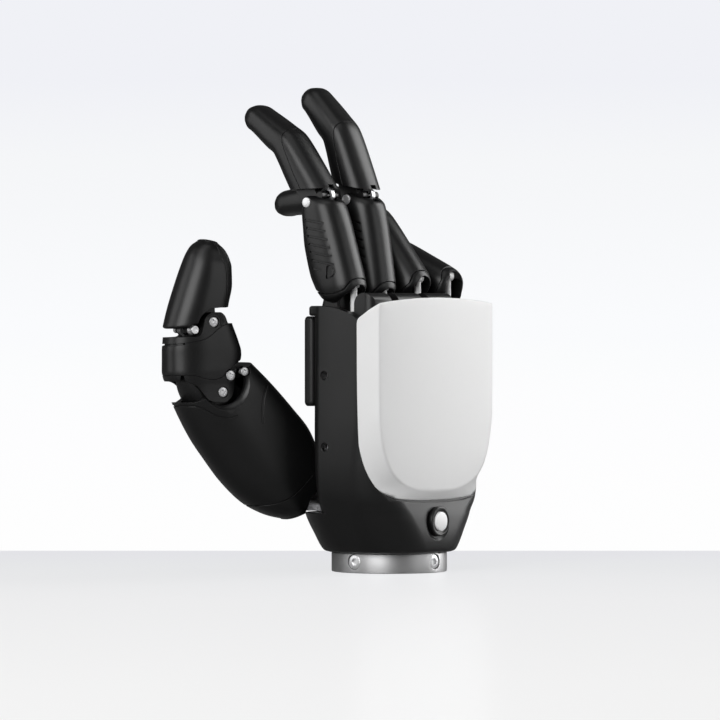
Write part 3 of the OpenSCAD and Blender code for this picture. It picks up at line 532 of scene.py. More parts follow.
def make_proximal(i):
    rings = domed(casing(PROXIMAL, *PROXIMAL_POWERS), 0.6, 4)
    shell = loft("proximal", domed(rings, 0.7, 4, first=True))
    score(shell, casing(PROXIMAL, *PROXIMAL_POWERS, inset=0.5), spline(BAND, 6), 0.55)
    for palm, back in GROOVES:
        groove = strip([palm, tuple(0.5 * (np.array(palm) + back)), back], 0.85)
        for s in SIDES:
            minus(shell, prism("groove", groove, 1.5, s * W / 2))
    for s in SIDES:
        ring_cut = disc("mark", 5.2, 1.3, (-0.4, 0.2), s * W / 2)
        minus(ring_cut, disc("island", 3.9, 2, (-0.4, 0.2), s * W / 2))
        minus(ring_cut, prism("flat", [(-0.2, 3.4), (3, 3.4), (3, -3), (1.6, -3)], 2, s * W / 2))
        minus(shell, ring_cut)
        flat = prism("flat", strip([(-0.2, 2.6), (0.7, 0.0), (1.5, -1.8)], 0.6), 1.3, s * W / 2)
        minus(shell, flat)
    ears = [(-4.4, -14), (-4.4, 4), (-3.4, 7.1), (0, 7.9), (3, 7.6), (14, 5), (14, -14)]
    fork = [(JOINT[0] + y, JOINT[1] + z)
            for y, z in [(-12, 1), (-6, -1), (0, -5.3), (14, -5.3), (14, 8), (-12, 8)]]
    minus(shell,
          prism("ears", rounded(ears, 0.3), 2 * EAR_OUT),
          disc("eye", 5, 3.8, LEVER),
          prism("rod", [(-6.9, -14), (-6.9, -5.36), (-3.9, -5.36), (-3.9, -14)], 3.8),
          stand(lathe("arch", [(EAR_OUT, 0), (EAR_OUT, 8)], 64), shift(0, -12, -12.2) @ spin(-90, "X")),
          prism("channel", [(-6.6, 1.6), (-6.8, 36), (8.9, 36), (8.9, 1.6)], 3.5),
          disc("round", 13.8, 2 * FORK_GAP, JOINT),
          prism("fork", rounded(fork, 0.6), 2 * FORK_GAP),
          disc("pin", 3.04, W + 2, JOINT),
          disc("axle", 3.1, 15.5),
          disc("lever_pin", 2.4, 11.4, LEVER),
          *[disc("seat", 4.1, 2.4, JOINT, s * W / 2) for s in SIDES])
    place(shell, in_metres(first_link(i)), FINGERS[i] + "_proximal", FINGERS[i] + "_proximal_casing", BLACK)


def make_joint_screws(i):
    whole = disc("lever_pin", 2, 11, LEVER)
    screw = [(1.5, 5.4), (1.5, 7.3), (1.95, 7.3), (1.95, 7.95), (1.8, 8.12), (1.5, 8.2), (0.2, 8.2)]
    for s in SIDES:
        plus(whole, stand(lathe("screw", screw, 48), shift(0, *JOINT) @ spin(90 * s, "Y")))
    place(whole, in_metres(first_link(i)), FINGERS[i] + "_proximal", FINGERS[i] + "_joint_screws", STEEL)


DISTAL = [((-8.7, 0.9), (6.3, 9.9), W - 0.4), ((-8.3, 12), (5.8, 16), W - 0.4),
          ((-7.7, 23), (5.2, 23), W - 0.6), ((-7.1, 28), (5.1, 25.8), W - 0.8),
          ((-4.6, 34.2), (6.6, 30), W - 1.2), ((0.2, 44.4), (9.8, 40), W - 3),
          ((1.5, 47), (11, 43), W - 3.8), ((3.2, 48.7), (11, 45), W - 5.4),
          ((4.8, 49.3), (10.6, 46.3), W - 7)]
DISTAL_POWERS = (2.5, 2.9)
SEAM = [(-22, -8), (0.2, -8), (-0.7, 4.5), (-1.1, 12), (-1.9, 19), (-2.6, 24.6), (-3.6, 27.8), (-5.4, 29.8),
        (-8.4, 30.7), (-22, 31)]


def make_distal(i):
    stretch = TIP[i] / TIP_DRAWN
    stations = DISTAL[:1] + [((by, bz * stretch), (fy, fz * stretch), w)
                             for (by, bz), (fy, fz), w in DISTAL[1:]]
    curve = spline(SEAM[1:-1], 6)
    seam = SEAM[:1] + pairs(curve) + SEAM[-1:]
    rings = domed(casing(stations, *DISTAL_POWERS), 0.4, 5, flat=0.7)
    tip = loft("tip", rings)
    body = minus(loft("body", rings), prism("seam", seam, W + 4))
    cover = common(tip, prism("seam", seam, W + 4))
    score(body, casing(stations, *DISTAL_POWERS, inset=0.3), curve, 0.5)
    for s in SIDES:
        plus(body, disc("tongue", 8, 3, (0, 0), s * 3.4),
             prism("neck", [(-4, 0), (-4.6, 9), (3.6, 13), (4, 0)], 3, s * 3.4),
             disc("back", 3, 3, (-5, 0), s * 3.4))
    minus(body, disc("bore", 3.1, 2 * FORK_GAP),
          prism("slot", [(-12, -8), (-12, 9), (6, 12), (6, -8)], 3.2))
    plus(body, disc("back_pin", 1.4, 6.8, (-5, 0)))
    minus(cover, prism("hollow", [(-6.8, -2), (-4.9, 10), (3.7, 14), (6, -2)], 9.8),
          prism("slot", [(-12, -2), (-12, 1.8), (-6.6, 3.6), (6, 14), (6, -2)], 3.2))
    at = in_metres(second_link(i))
    place(body, at, FINGERS[i] + "_distal", FINGERS[i] + "_distal_body", BLACK)
    place(cover, at, FINGERS[i] + "_distal", FINGERS[i] + "_distal_cover", BLACK)


for i in range(len(FINGERS)):
    make_proximal(i)
    make_joint_screws(i)
    make_distal(i)


# ---- palm -----------------------------------------------------------------------------
PALM_FRONT, PAD_Y = 9.5, 13.9           # the palm's face and the pad's
SIDE_HOLES = [(2.4, 49), (2.4, 76.6)]   # (y, z) of the holes in the palm's side
BUTTON_Z = 20
FLANGE_R, FLANGE_H = 22.5, 7.5
YAW_AT = (-17, 17)                      # axis of the thumb's rotation
HERE = Matrix.Identity(4)

# height, half width, back, back corner radius, front of the wrist's part
BODY = spline([(7.8, 23.2, -22.2, 18.2, 22.2), (8.3, 24.5, -23.2, 19, 23.2), (9.6, 25.4, -23.7, 19, 24),
               (15, 28.6, -24, 19, 25), (21.2, 31.9, -23.7, 17.8, 26.1), (23.2, 32.8, -23.5, 17.4, 26.2),
               (28.4, 35.3, -22.7, 14.8, 26.2), (33, 36.4, -22.2, 14, 26.2), (44, 37.5, -21.8, 12.2, 26.2),
               (62, 38, -21.4, 9.2, 26.2), (82, 38, -21.4, 9, 26.2), (104, 38, -21.4, 9, 26.2)], 4)
# right half of the white cover, down its side and in along its foot: where its wall meets the
# housing, and where its face starts; the last two are its top edge
RIM = [(38.25, -15.4, 99.2), (38.45, -14.4, 98.2), (38.5, -14, 96.4), (38.4, -14, 79), (37.9, -14, 60),
       (37.3, -14, 51), (36.4, -14.7, 45.2), (35.2, -15.8, 40.4), (33.4, -17.3, 36), (31.6, -18.7, 33.1),
       (28.4, -20.6, 30.7), (24, -21.8, 29.3), (16, -22.3, 28.6), (8, -22.4, 28.3), (0, -22.4, 28.2)]
FACE = [(36.1, -23.4, 104.4), (36.35, -23.4, 103.7), (36.4, -23.4, 102.2), (36.4, -23.4, 79),
        (36.2, -23.4, 61), (34.8, -23.4, 52), (32.8, -23.5, 46), (30.2, -23.6, 41.4), (26.8, -23.7, 38),
        (22.6, -23.8, 35.5), (18.6, -23.9, 33.9), (14, -24, 32.9), (9, -24.1, 32.2), (4.5, -24.2, 31.9),
        (0, -24.2, 31.8)]
RIM_TOP = [(36.9, -19.6, 102.4), (35, -20.9, 103.4), (30.3, -21.1, 103.9), (20, -21.3, 104.6),
           (10, -21.4, 105.1), (0, -21.4, 105.3)]
FACE_TOP = [(35.6, -23.42, 104.75), (34.6, -23.46, 104.95), (30, -23.6, 105.5), (20, -23.9, 106.3),
            (10, -24.1, 106.8), (0, -24.2, 107)]
FACE_Y, FACE_HALF, BULGE, EDGE_ROUND = -23.4, 36.4, 1.0, 1.0
COVER_FOOT, COVER_MIDDLE = 66, 67       # heights towards which its back and its face close


def face_y(x):
    return FACE_Y - BULGE * (1 - (x / FACE_HALF) ** 2)


def shrunk(loop, share, height):
    """A standing loop made smaller towards the middle at that height."""
    return loop * np.array([share, 1, share]) + np.array([0, 0, height * (1 - share)])


def cover_loop(side, top):
    """Loop down the left side, along the foot, up the right side and back along the top."""
    down = spline(side, 5)
    over = spline([side[0]] + top, 5)[1:]
    left = down * np.array([-1, 1, 1])
    return np.vstack([left, down[::-1][1:], over, (over * np.array([-1, 1, 1]))[::-1][1:]])


def pushed(loop, out, along=0.0):
    """Moves a loop's points square to it, out from its middle."""
    flat = loop[:, [0, 2]]
    way = np.roll(flat, -1, 0) - np.roll(flat, 1, 0)
    length = np.maximum(np.linalg.norm(way, axis=1), 1e-6)[:, None]
    n = np.stack([way[:, 1], -way[:, 0]], 1) / length
    moved = loop.copy()
    moved[:, 0] += n[:, 0] * out
    moved[:, 2] += n[:, 1] * out
    moved[:, 1] += along
    return moved


def cover_rings(g=0.0):
    """Rings of the white cover from its inside to the middle of its face.

    With a clearance g they are those of the room for it in the housing.
    """
    rim, edge = cover_loop(RIM, RIM_TOP), cover_loop(FACE, FACE_TOP)
    keep = [0]                              # points of the corners that lie close together go
    for j in range(1, len(edge)):
        if np.linalg.norm(edge[j] - edge[keep[-1]]) > 0.25:
            keep.append(j)
    rim, edge = rim[keep], edge[keep]
    out = 1.5 if g else 0.0
    inner = pushed(edge, -2.2 - g)
    inner[:, 1] = -21.2 + g
    rings = [shrunk(inner, 0.5, COVER_FOOT), inner, pushed(rim, -1.4 - g, g), pushed(rim, out, g)]
    if g:
        far = pushed(edge, out, -2)
        return rings + [far, shrunk(far, 0.5, COVER_FOOT)]
    rim = rings[-1]
    foot = rim + (edge - rim) / np.linalg.norm(edge - rim, axis=1)[:, None] * 0.25
    rings.append(foot)
    up = (rim - edge) / np.linalg.norm(rim - edge, axis=1)[:, None]
    inside = pushed(edge, -1.0) - edge
    inside[:, 1] = 0
    for k in range(6):
        t = k / 5
        rings.append(edge + (1 - t) ** 2 * up * EDGE_ROUND + t**2 * inside)
    last = rings[-1]
    for u in (0.94, 0.86, 0.74, 0.6, 0.45, 0.3, 0.15):
        r = shrunk(last, u, COVER_MIDDLE)
        r[:, 1] = face_y(r[:, 0]) + (last[:, 1] - face_y(last[:, 0])) * u**6
        rings.append(r)
    return rings


def palm_front(z):
    return float(np.interp(z, [33, 44, 62], [9.9, 9.8, 9.5]))


def make_housing():
    lower = [slab(hx, y0, y1, rb, 20, z) for z, hx, y0, rb, y1 in BODY if z < 23.3]
    upper = [slab(hx, y0, palm_front(z), rb, 5, z) for z, hx, y0, rb, _ in BODY if z > 21.1]
    body = plus(loft("lower", lower), loft("upper", upper))
    lip = [slab(hx, -4, y1, 1, r, z) for z, hx, y1, r in spline(
        [(99.5, 37, 9.8, 1.2), (99.8, 37.6, 10.3, 1.4), (100.4, 37.8, 10.6, 1.6), (102.4, 37.8, 10.6, 1.6),
         (103.1, 37.5, 10.3, 1.4), (103.4, 37.1, 9.8, 1.2)], 3)]
    plus(body, loft("lip", lip))
    minus(body, loft("cavity", [slab(hx, -18.6, 7.1, 4, 1.2, z)
                                for z, hx in ((30, 30.6), (48, 34.6), (66, 34.6), (108, 34.6))]),
          loft("rebate", cover_rings(0.12)))
    for i in range(len(FINGERS)):
        x, *at = knuckle(i)
        minus(body, disc("scoop", 24.8, 18, at, x, 128))
    top = spline([(-40, 96.6), (-21, 97.2), (-14.4, 98), (-12.2, 99.3), (-10, 100.4), (-6, 101.8),
                  (-1.6, 102.8), (4, 103.3), (14, 103.5)], 5)
    minus(body, prism("top", pairs(top) + [(14, 130), (-40, 130)], 90))
    minus(body, lathe("hole", [(11, 6.8), (11, 36.8)]))
    turn = shift(0, -25.4, BUTTON_Z) @ spin(-90, "X")
    minus(body, stand(lathe("seat", [(8.2, -1), (8.0, 0.9), (7.2, 1.6), (6.6, 2.0), (6.4, 2.0)]), turn),
          stand(lathe("bore", [(4.9, -1), (4.9, 12)]), turn))
    minus(body, stand(lathe("bush", [(5.52, 18), (5.52, 40)]), shift(*YAW_AT, 0)))
    for at in SIDE_HOLES:
        minus(body, stand(lathe("side_hole", [(1.75, -1), (1.75, 1.4), (1.6, 1.5), (1.6, 6)], 48),
                          shift(-39, *at) @ spin(90, "Y")))
    place(body, HERE, "root", "palm_housing", BLACK, 30)


def make_cover():
    place(loft("cover", cover_rings()), HERE, "root", "back_cover", WHITE, 38)


def make_pad():
    foot = [(PALM_FRONT + y, inset) for y, inset in ((0, 1.2), (0.4, 0.5), (1, 0.15), (1.6, 0))]
    edge = [(PAD_Y - 0.9 + 0.9 * math.sin(a), 0.9 * (1 - math.cos(a))) for a in np.linspace(0, 1.5, 7)]
    rings = [upright(slab(36 - inset, 64.7 + inset, 99.4 - inset, 1.6, 1.6, 0), y)
             for y, inset in foot + edge]
    rings += [shrunk(rings[-1], u, 82.4) for u in (0.9, 0.6, 0.3)]
    place(loft("pad", rings), HERE, "root", "palm_pad", RUBBER)


def make_knuckle_frame():
    bar = loft("bar", [slab(34.4, -18.5, 6.8, 4.2, 4.2, z) for z in (96.4, 101.2)])
    for i in range(len(FINGERS)):
        x, y, z = knuckle(i)
        arc = [(y - 14.35 + 4.45 * math.cos(a), z - 12.05 + 4.45 * math.sin(a))
               for a in np.linspace(math.pi, 0, 25)]
        dome = prism("dome", [(y - 18.8, 98)] + arc + [(y - 9.9, 98)], 15, x)
        common(dome, loft("room", [slab(34.4, -18.5, 20, 4.2, 4.2, h) for h in (90, 120)]))
        plus(bar, dome)
        post = [(y + a, z + b)
                for a, b in ((-4, 0), (-1.6, -11), (-1.6, -16), (4.7, -16), (4.7, -11), (7.5, 0))]
        for ear_x in (x - 3.75, x + 3.75):
            plus(bar, disc("ear", 8, 2.3, (y, z), ear_x), disc("lobe", 5, 2.3, (y + 5, z), ear_x),
                 prism("post", post, 2.3, ear_x))
        room = prism("room", [(y - 9.3, z - 24), (y - 1.9, z - 24), (y - 1.9, z), (y - 9.3, z)], 7.8, x)
        minus(bar, disc("pin", 3.04, 12, (y, z), x), disc("small", 1.64, 12, (y + 5, z), x), room)
    place(bar, HERE, "root", "knuckle_frame", FRAME)


def make_wrist():
    r, h = FLANGE_R, FLANGE_H
    flange = lathe("flange", [(r - 0.45, 0), (r - 0.15, 0.12), (r, 0.42), (r, 7.2), (r - 0.12, 7.42),
                              (r - 0.4, h), (21, h), (21, 7.8)], 192)
    minus(flange, lathe("socket", [(18, -1), (18, 9)], 192))
    seat = [(3.5, -1), (3.05, 0.65), (3.0, 2.8), (1.3, 2.8), (1.3, 24)]
    head = [(2.55, 1.05), (2.72, 1.15), (2.8, 1.35), (2.8, 1.8), (1.25, 1.8), (1.25, 5)]
    corners = np.linspace(0, 2 * math.pi, 7)[:6]
    screws = []
    for k in range(4):
        turn = spin(90 * k, "Z") @ shift(0, -r - 0.6, 4.3) @ spin(-90, "X")
        minus(flange, stand(lathe("seat", seat, 64), turn))
        hexagon = [np.array([(1.45 * math.cos(a), 1.45 * math.sin(a), z) for a in corners])
                   for z in (0, 1.75)]
        screws.append(minus(stand(lathe("head", head, 64), turn), stand(loft("hex", hexagon), turn)))
    place(flange, HERE, "root", "wrist_flange", FLANGE)
    place(joined(screws), HERE, "root", "flange_screws", STEEL)


def make_housing_screws():
    screw = [(0.2, 0.5), (0.75, 0.5), (0.9, 0.98), (1.4, 1), (1.59, 1), (1.59, 0.2)]
    screws = [stand(lathe("screw", screw, 48), shift(-33.2, *at) @ spin(-90, "Y")) for at in SIDE_HOLES]
    place(joined(screws), HERE, "root", "housing_screws", STEEL)


def make_button():
    turn = shift(0, -24.4, BUTTON_Z) @ spin(90, "X")
    bezel = [(5.6, -0.9), (5.8, -0.6), (5.8, 0.35), (5.7, 0.7), (5.4, 0.95), (5.0, 1.0), (4.7, 0.9),
             (4.5, 0.65), (4.2, 0.62), (3.8, 0.55)]
    bezel = minus(stand(lathe("bezel", bezel), turn), stand(lathe("bore", [(3.75, -3), (3.75, 3)]), turn))
    place(bezel, HERE, "root", "button_bezel", DARK)
    cap = [(4.5, -1.9), (4.5, -1.1), (3.7, -1.1), (3.7, 1.15), (3.64, 1.32), (3.45, 1.46), (3.0, 1.58),
           (2.2, 1.7), (1.2, 1.77), (0.4, 1.79)]
    place(stand(lathe("cap", cap), turn), HERE, "power_button", "power_button", BUTTON, 40)


make_housing()
make_cover()
make_pad()
make_knuckle_frame()
make_wrist()
make_housing_screws()
make_button()


# ---- thumb ----------------------------------------------------------------------------
# In the thumb's own frame X runs across it, Y points to the palm and Z up.
HEADING, THUMB_SIDE = -112.5, -8        # of the rotation's axis, in degrees and in millimetres
THUMB = in_metres(shift(*YAW_AT, 0) @ spin(HEADING, "Z") @ shift(THUMB_SIDE, 0, 0))
# pivots: thumb on its bracket, middle on the base, middle's lever, link on the base, tip, link on the tip
PITCH_AT, MIDDLE_AT, LEVER_AT, LINK_BASE = (-11.5, 32), (-43.5, 76.6), (-46.8, 70.2), (-37.8, 78.1)
DISTAL_AT, LINK_TIP = (-50.9, 97.2), (-58.3, 94.2)
T = 23.0                                # width of the thumb
BASE = [((-15.6, 20.5), (-5.8, 24.2), T - 10), ((-21, 21.6), (-1.8, 30), T - 4),
        ((-31, 25.8), (-0.4, 37), T - 1), ((-42, 35), (-3.2, 46.6), T), ((-49.2, 43.6), (-7.4, 55.6), T),
        ((-55.2, 51.6), (-14.4, 63.6), T), ((-60.2, 60.2), (-24.4, 73.8), T),
        ((-63.4, 66.6), (-33, 81.6), T - 0.4)]
CAP_SEAM = [(-37, 12), (-34.7, 25.6), (-29.8, 26), (-25.4, 26.5), (-19.9, 28.2), (-16.6, 30.2), (-13.3, 33),
            (-10.4, 36), (-6, 40.4), (4, 45)]
MIDDLE = [((-65.4, 73), (-40, 73.5), T - 4.4), ((-66.8, 75.4), (-39.4, 76), T - 4),
          ((-67.4, 78.5), (-38.2, 80), T - 3.6),
          ((-67.4, 84.4), (-37, 84.6), T - 3.6), ((-67.4, 86), (-37.1, 86.2), T - 3.6),
          ((-67.2, 88.4), (-38.1, 89.4), T - 3.7), ((-66.8, 92.5), (-41.6, 98), T - 4.2)]
LOW_SEAM = [(-80, 76.6), (-66, 76.6), (-60.2, 76.6), (-57.2, 76.1), (-54.6, 75.3), (-50.7, 75), (-47.6, 75.8),
            (-44.6, 78), (-41, 81), (-36, 83.6), (-30, 86)]
TOP_SEAM = [(-80, 88.6), (-68, 88.7), (-61.5, 89.3), (-58, 89.9), (-54.6, 90.8), (-52, 92.3), (-49.4, 94.4),
            (-45.9, 96.2), (-43.3, 96.6), (-34, 97.2)]
EAR = [(-80, 74.2), (-65.6, 74.3), (-61.4, 74.1), (-58.2, 72.8), (-55.6, 70), (-53.6, 67.7), (-50.8, 66.5),
       (-46.4, 66.3), (-43, 68.4), (-41.6, 71.6), (-41.2, 75), (-41.2, 79.2)]
BROW = [(-80, 91.2), (-66, 91.3), (-60.2, 91.4), (-57.6, 91.6), (-56, 93), (-55.3, 95.6), (-54.6, 98.2),
        (-53.1, 100), (-50.8, 101), (-48.2, 101), (-46.2, 99.8), (-44.8, 97.2), (-44.2, 96)]
TIP_T = [((-67.2, 95.6), (-43.6, 97.6), T - 4.4), ((-65.4, 102), (-42.6, 104), T - 3.8),
         ((-61.8, 112.6), (-41, 112), T - 4.4), ((-58.8, 120.4), (-41, 118.4), T - 6),
         ((-57.3, 123.8), (-41.6, 121.4), T - 8), ((-55.2, 126.8), (-43.3, 124.9), T - 10.6),
         ((-52.6, 128.6), (-45.6, 127.4), T - 14.6)]


def thumb_piece(obj, body, node, mat):
    place(obj, THUMB, body, node, mat)


BASE_POWERS, MIDDLE_POWERS, TIP_POWERS = (2.3, 4.4), (2.4, 5), (2.1, 4.4)


def make_thumb_base():
    rings = domed(casing(BASE, *BASE_POWERS), 0.7, 4, first=True)
    thin = casing(BASE, *BASE_POWERS, inset=0.32)
    seam = spline(CAP_SEAM, 6)
    region = pairs(seam) + [(4, 12)]
    cap = common(loft("cap", rings), prism("region", region, T + 2))
    fork = [(-17, 26.6), (-17.4, 40), (-8, 46), (6, 46), (6, 14), (-3, 20)]
    front = [(-8.4, 14), (-9.4, 26.2), (-8.2, 29.4), (-4.6, 32.4), (6, 34.5), (6, 14)]
    minus(cap, prism("fork", rounded(fork, 0.8), 12.6), prism("front", rounded(front, 1), T + 2),
          disc("pin", 4.1, T - 4.6, PITCH_AT))
    shell = minus(loft("base", rings), prism("region", region, T + 2))
    for piece in (cap, shell):
        score(piece, thin, seam, 0.42)
    top = [(-80, 66.2), (-58.4, 66.2), (-56, 67.2), (-40, 78.4), (-30, 83.2), (-30, 95), (-80, 95)]
    minus(shell, prism("top", top, T + 2))
    rim = spline([(-80, 64.9), (-61.4, 64.9), (-59, 64.9), (-57, 64.6), (-54.3, 63.3), (-51.6, 61.8),
                  (-48.4, 60.7), (-45.1, 60.4), (-41.6, 61.2)], 6)
    score(shell, thin, rim, 0.5)
    crease = spline([(-28.2, 73), (-29.8, 69.5), (-30.6, 65.6), (-30.9, 61.3), (-30.6, 58)], 6)
    score(shell, casing(BASE, *BASE_POWERS, inset=0.12), crease, 1.1)
    hollow = casing(BASE[3:], *BASE_POWERS, inset=3.0)
    hollow.append(ring((-66, 72), (-40, 88), T - 7, *BASE_POWERS))
    minus(shell, loft("hollow", hollow))
    for s in SIDES:
        # the round room beside the middle segment gets wider and moves as it nears the skin
        bowl = []
        for x, t in ((7.0, 0), (9.4, 0), (9.8, 0.1), (10.6, 0.4), (11.1, 0.7), (11.4, 0.95), (12.4, 1.05)):
            cy, cz = -47.4 - 1.1 * t, 75.1 - 0.4 * t
            bowl.append(np.array([(s * x, cy + y, cz + z) for y, z in circle(10 + 2.5 * t, 96)]))
        minus(shell, loft("bowl", bowl), disc("seat", 4.1, 3, LINK_BASE, s * 10.9))
    minus(shell, disc("pin", 2.6, T + 2, LINK_BASE))
    thumb_piece(cap, "thumb_base", "thumb_end_cap", BLACK)
    thumb_piece(shell, "thumb_base", "thumb_base_casing", BLACK)


def thumb_middle_rings(inset=0.0):
    return casing(MIDDLE, *MIDDLE_POWERS, inset=inset, steps=7)


def make_thumb_middle():
    full, thin = thumb_middle_rings(), thumb_middle_rings(0.3)
    low, top = spline(LOW_SEAM, 6), spline(TOP_SEAM, 6)
    shell = common(loft("shell", full), prism("region", pairs(low) + pairs(top)[::-1], 24))
    score(shell, thin, low, 0.36)
    score(shell, thin, top, 0.36)
    score(shell, thumb_middle_rings(0.9), [(-80, 88.2), (-66, 88.4), (-62.6, 88.9)], 0.9)
    minus(shell, prism("inside", [(-60.2, 60), (-60.2, 76), (-63.2, 90.5), (-30, 100), (-30, 60)], 15.1),
          disc("pin", 5.2, 24, MIDDLE_AT))
    thumb_piece(shell, "thumb_middle", "thumb_middle_casing", BLACK)

    core = [(-60, 76), (-55.5, 70.4), (-52, 66.9), (-46.2, 66.3), (-42.8, 69.2), (-41.4, 72.9), (-41.2, 79),
            (-42, 86), (-46, 95), (-50, 101), (-55, 92), (-63, 90.5)]
    wide = [ring((-66.4, 62), (-38, 62), T - 4.4, *MIDDLE_POWERS)] + full
    wide.append(ring((-66.6, 103), (-40, 103), T - 4.4, *MIDDLE_POWERS))
    low_back = low[low[:, 0] < -41.6]       # the ears end before the seam's tail
    ears = common(loft("ears", wide), prism("outline", pairs(spline(EAR, 6)) + pairs(low_back)[::-1], 24))
    brow = common(loft("brow", wide), prism("outline", pairs(top) + pairs(spline(BROW, 6))[::-1], 24))
    for piece in (ears, brow):
        minus(piece, prism("inside", [(-58.6, 60), (-58.6, 104), (-30, 104), (-30, 60)], 9.2))
    minus(ears, prism("inside", [(-64, 60), (-64, 80), (-58, 80), (-58, 60)], 15))
    frame_piece = prism("core", core, 2.9, 6.05)
    plus(frame_piece, prism("core", core, 2.9, -6.05), ears, brow)
    rows = []
    for x in (-7.5, -7.2, -6.6, -5.6, -4.4, -3, -1.5, 0, 1.5, 3, 4.4, 5.6, 6.6, 7.2, 7.5):
        outer = 18.2 - 4.2 * (abs(x) / 7.5) ** 2.4
        arc = np.radians(np.linspace(178, 236, 16))
        line = [(outer, a) for a in arc] + [(outer - 1.2, a) for a in arc[::-1]]
        rows.append(np.array([(x, MIDDLE_AT[0] + q * math.cos(a), MIDDLE_AT[1] + q * math.sin(a))
                              for q, a in line]))
    neck = loft("neck", rows)
    minus(neck, prism("room", [(-43.5, 76.6), (-61.9, 61.2), (-61.9, 50), (-43.5, 50)], 9.2))
    plus(frame_piece, neck)
    minus(frame_piece, prism("link", [(-64.4, 88.8), (-64.4, 99), (-30, 99), (-30, 88.8)], 3.2),
          disc("pin", 4.04, 24, MIDDLE_AT), disc("lever", 2.04, 24, LEVER_AT),
          disc("joint", 3.04, 24, DISTAL_AT))
    for at in (MIDDLE_AT, LEVER_AT, DISTAL_AT):
        minus(frame_piece, *[disc("seat", 4.5, 2, at, s * 9.5) for s in SIDES])
    for r in (3.0, 3.6, 4.2):
        for x in (-9.3, 9.3):
            rib = minus(disc("rib", 2 * r + 0.26, 0.5, DISTAL_AT, x),
                        disc("island", 2 * r - 0.26, 2, DISTAL_AT, x))
            part = [(-54, 99.5), (-50, 97), (-46, 94), (-40, 94), (-40, 104), (-54, 104)]
            minus(frame_piece, common(rib, prism("part", part, 40)))
    thumb_piece(frame_piece, "thumb_middle", "thumb_middle_frame", FRAME)


def make_thumb_tip():
    rings = domed(casing(TIP_T, *TIP_POWERS, steps=7), 0.9, 5, flat=0.3)
    rings = domed(rings, 1.2, 5, first=True, flat=0.86)
    thin = casing(TIP_T, *TIP_POWERS, inset=0.22, steps=7)
    pad_line = rounded([(-46, 90), (-45, 118), (-48, 126), (-48, 132)], 4, 6, closed=False)
    pad_region = pad_line + [(-36, 132), (-36, 90)]
    notch = [(-57.9, 90), (-57.9, 96.4), (-56.2, 99.8), (-52.5, 102.4), (-42, 103.2), (-36, 103.4), (-36, 90)]
    tip = minus(loft("tip", rings), prism("notch", rounded(notch, 1.4), 24), prism("pad", pad_region, 24),
                disc("shaft", 5, 24, LINK_TIP))
    tongue = [(-60.6, 93), (-60, 99), (-56, 104), (-48, 104), (-47.4, 95), (-54, 92)]
    plus(tip, *[prism("tongue", tongue, 2.4, s * 3.1) for s in SIDES])
    minus(tip, disc("joint", 3.1, 24, DISTAL_AT), disc("link", 2.04, 24, LINK_TIP),
          prism("slot", [(-66, 88), (-66, 97), (-58, 99.4), (-50, 97), (-50, 88)], 3.2))
    pad = common(loft("pad", rings), prism("region", pad_region, 24))
    common(pad, prism("over", [(-50, 102.2), (-42, 103.2), (-30, 103.6), (-30, 140), (-60, 140)], 24))
    for piece in (tip, pad):
        score(piece, thin, np.array(pad_line), 0.3)
    thumb_piece(tip, "thumb_distal", "thumb_distal_casing", BLACK)
    thumb_piece(pad, "thumb_distal", "thumb_tip_pad", RUBBER)


def head_and_shank(at, s, half, shank, head, cross=2.2, tall=0.85):
    """Screw with a low round head and a cross recess, its head at the side s."""
    piece = lathe("screw", [(shank / 2, half - 3.6), (shank / 2, half - tall), (head / 2, half - tall),
                            (head / 2, half - 0.34), (head / 2 - 0.1, half - 0.16),
                            (head / 2 - 0.34, half - 0.05), (head / 2 - 0.8, half), (0.3, half + 0.06)], 48)
    c, w = cross / 2, 0.36
    for turn in (20, 110):
        bar = loft("bar", [np.array([(-c, -w, z), (c, -w, z), (c, w, z), (-c, w, z)])
                           for z in (half - 0.7, half + 1)])
        minus(piece, stand(bar, spin(turn, "Z")))
    return stand(piece, shift(0, *at) @ spin(90 * s, "Y"))


def make_thumb_screws():
    for node, spots in (("thumb_middle_pins", [(MIDDLE_AT, 9.35, 3.2, 3.8), (LEVER_AT, 9.35, 2, 3.8)]),
                        ("thumb_distal_pin", [(DISTAL_AT, 9.35, 3, 3.8)])):
        pins = joined([head_and_shank(at, s, *size) for at, *size in spots for s in SIDES])
        thumb_piece(pins, "thumb_middle", node, STEEL)
    pin = joined([head_and_shank(LINK_BASE, s, 10.2, 2, 3.2, 1.7) for s in (1, -1)])
    thumb_piece(pin, "thumb_base", "thumb_link_pin", STEEL)
    shaft = [(1.35, -8), (1.35, 4.2), (1.9, 4.5), (1.9, 5.1), (1.1, 5.5), (1.1, 6.4), (1.5, 6.7), (1.6, 7.0),
             (1.6, 7.8), (1.45, 8.0), (0.9, 8.0), (0.85, 7.6), (0.2, 7.6)]
    shaft = stand(lathe("shaft", shaft, 48), shift(0, *LINK_TIP) @ spin(90, "Y"))
    thumb_piece(shaft, "thumb_distal", "thumb_link_shaft", STEEL)


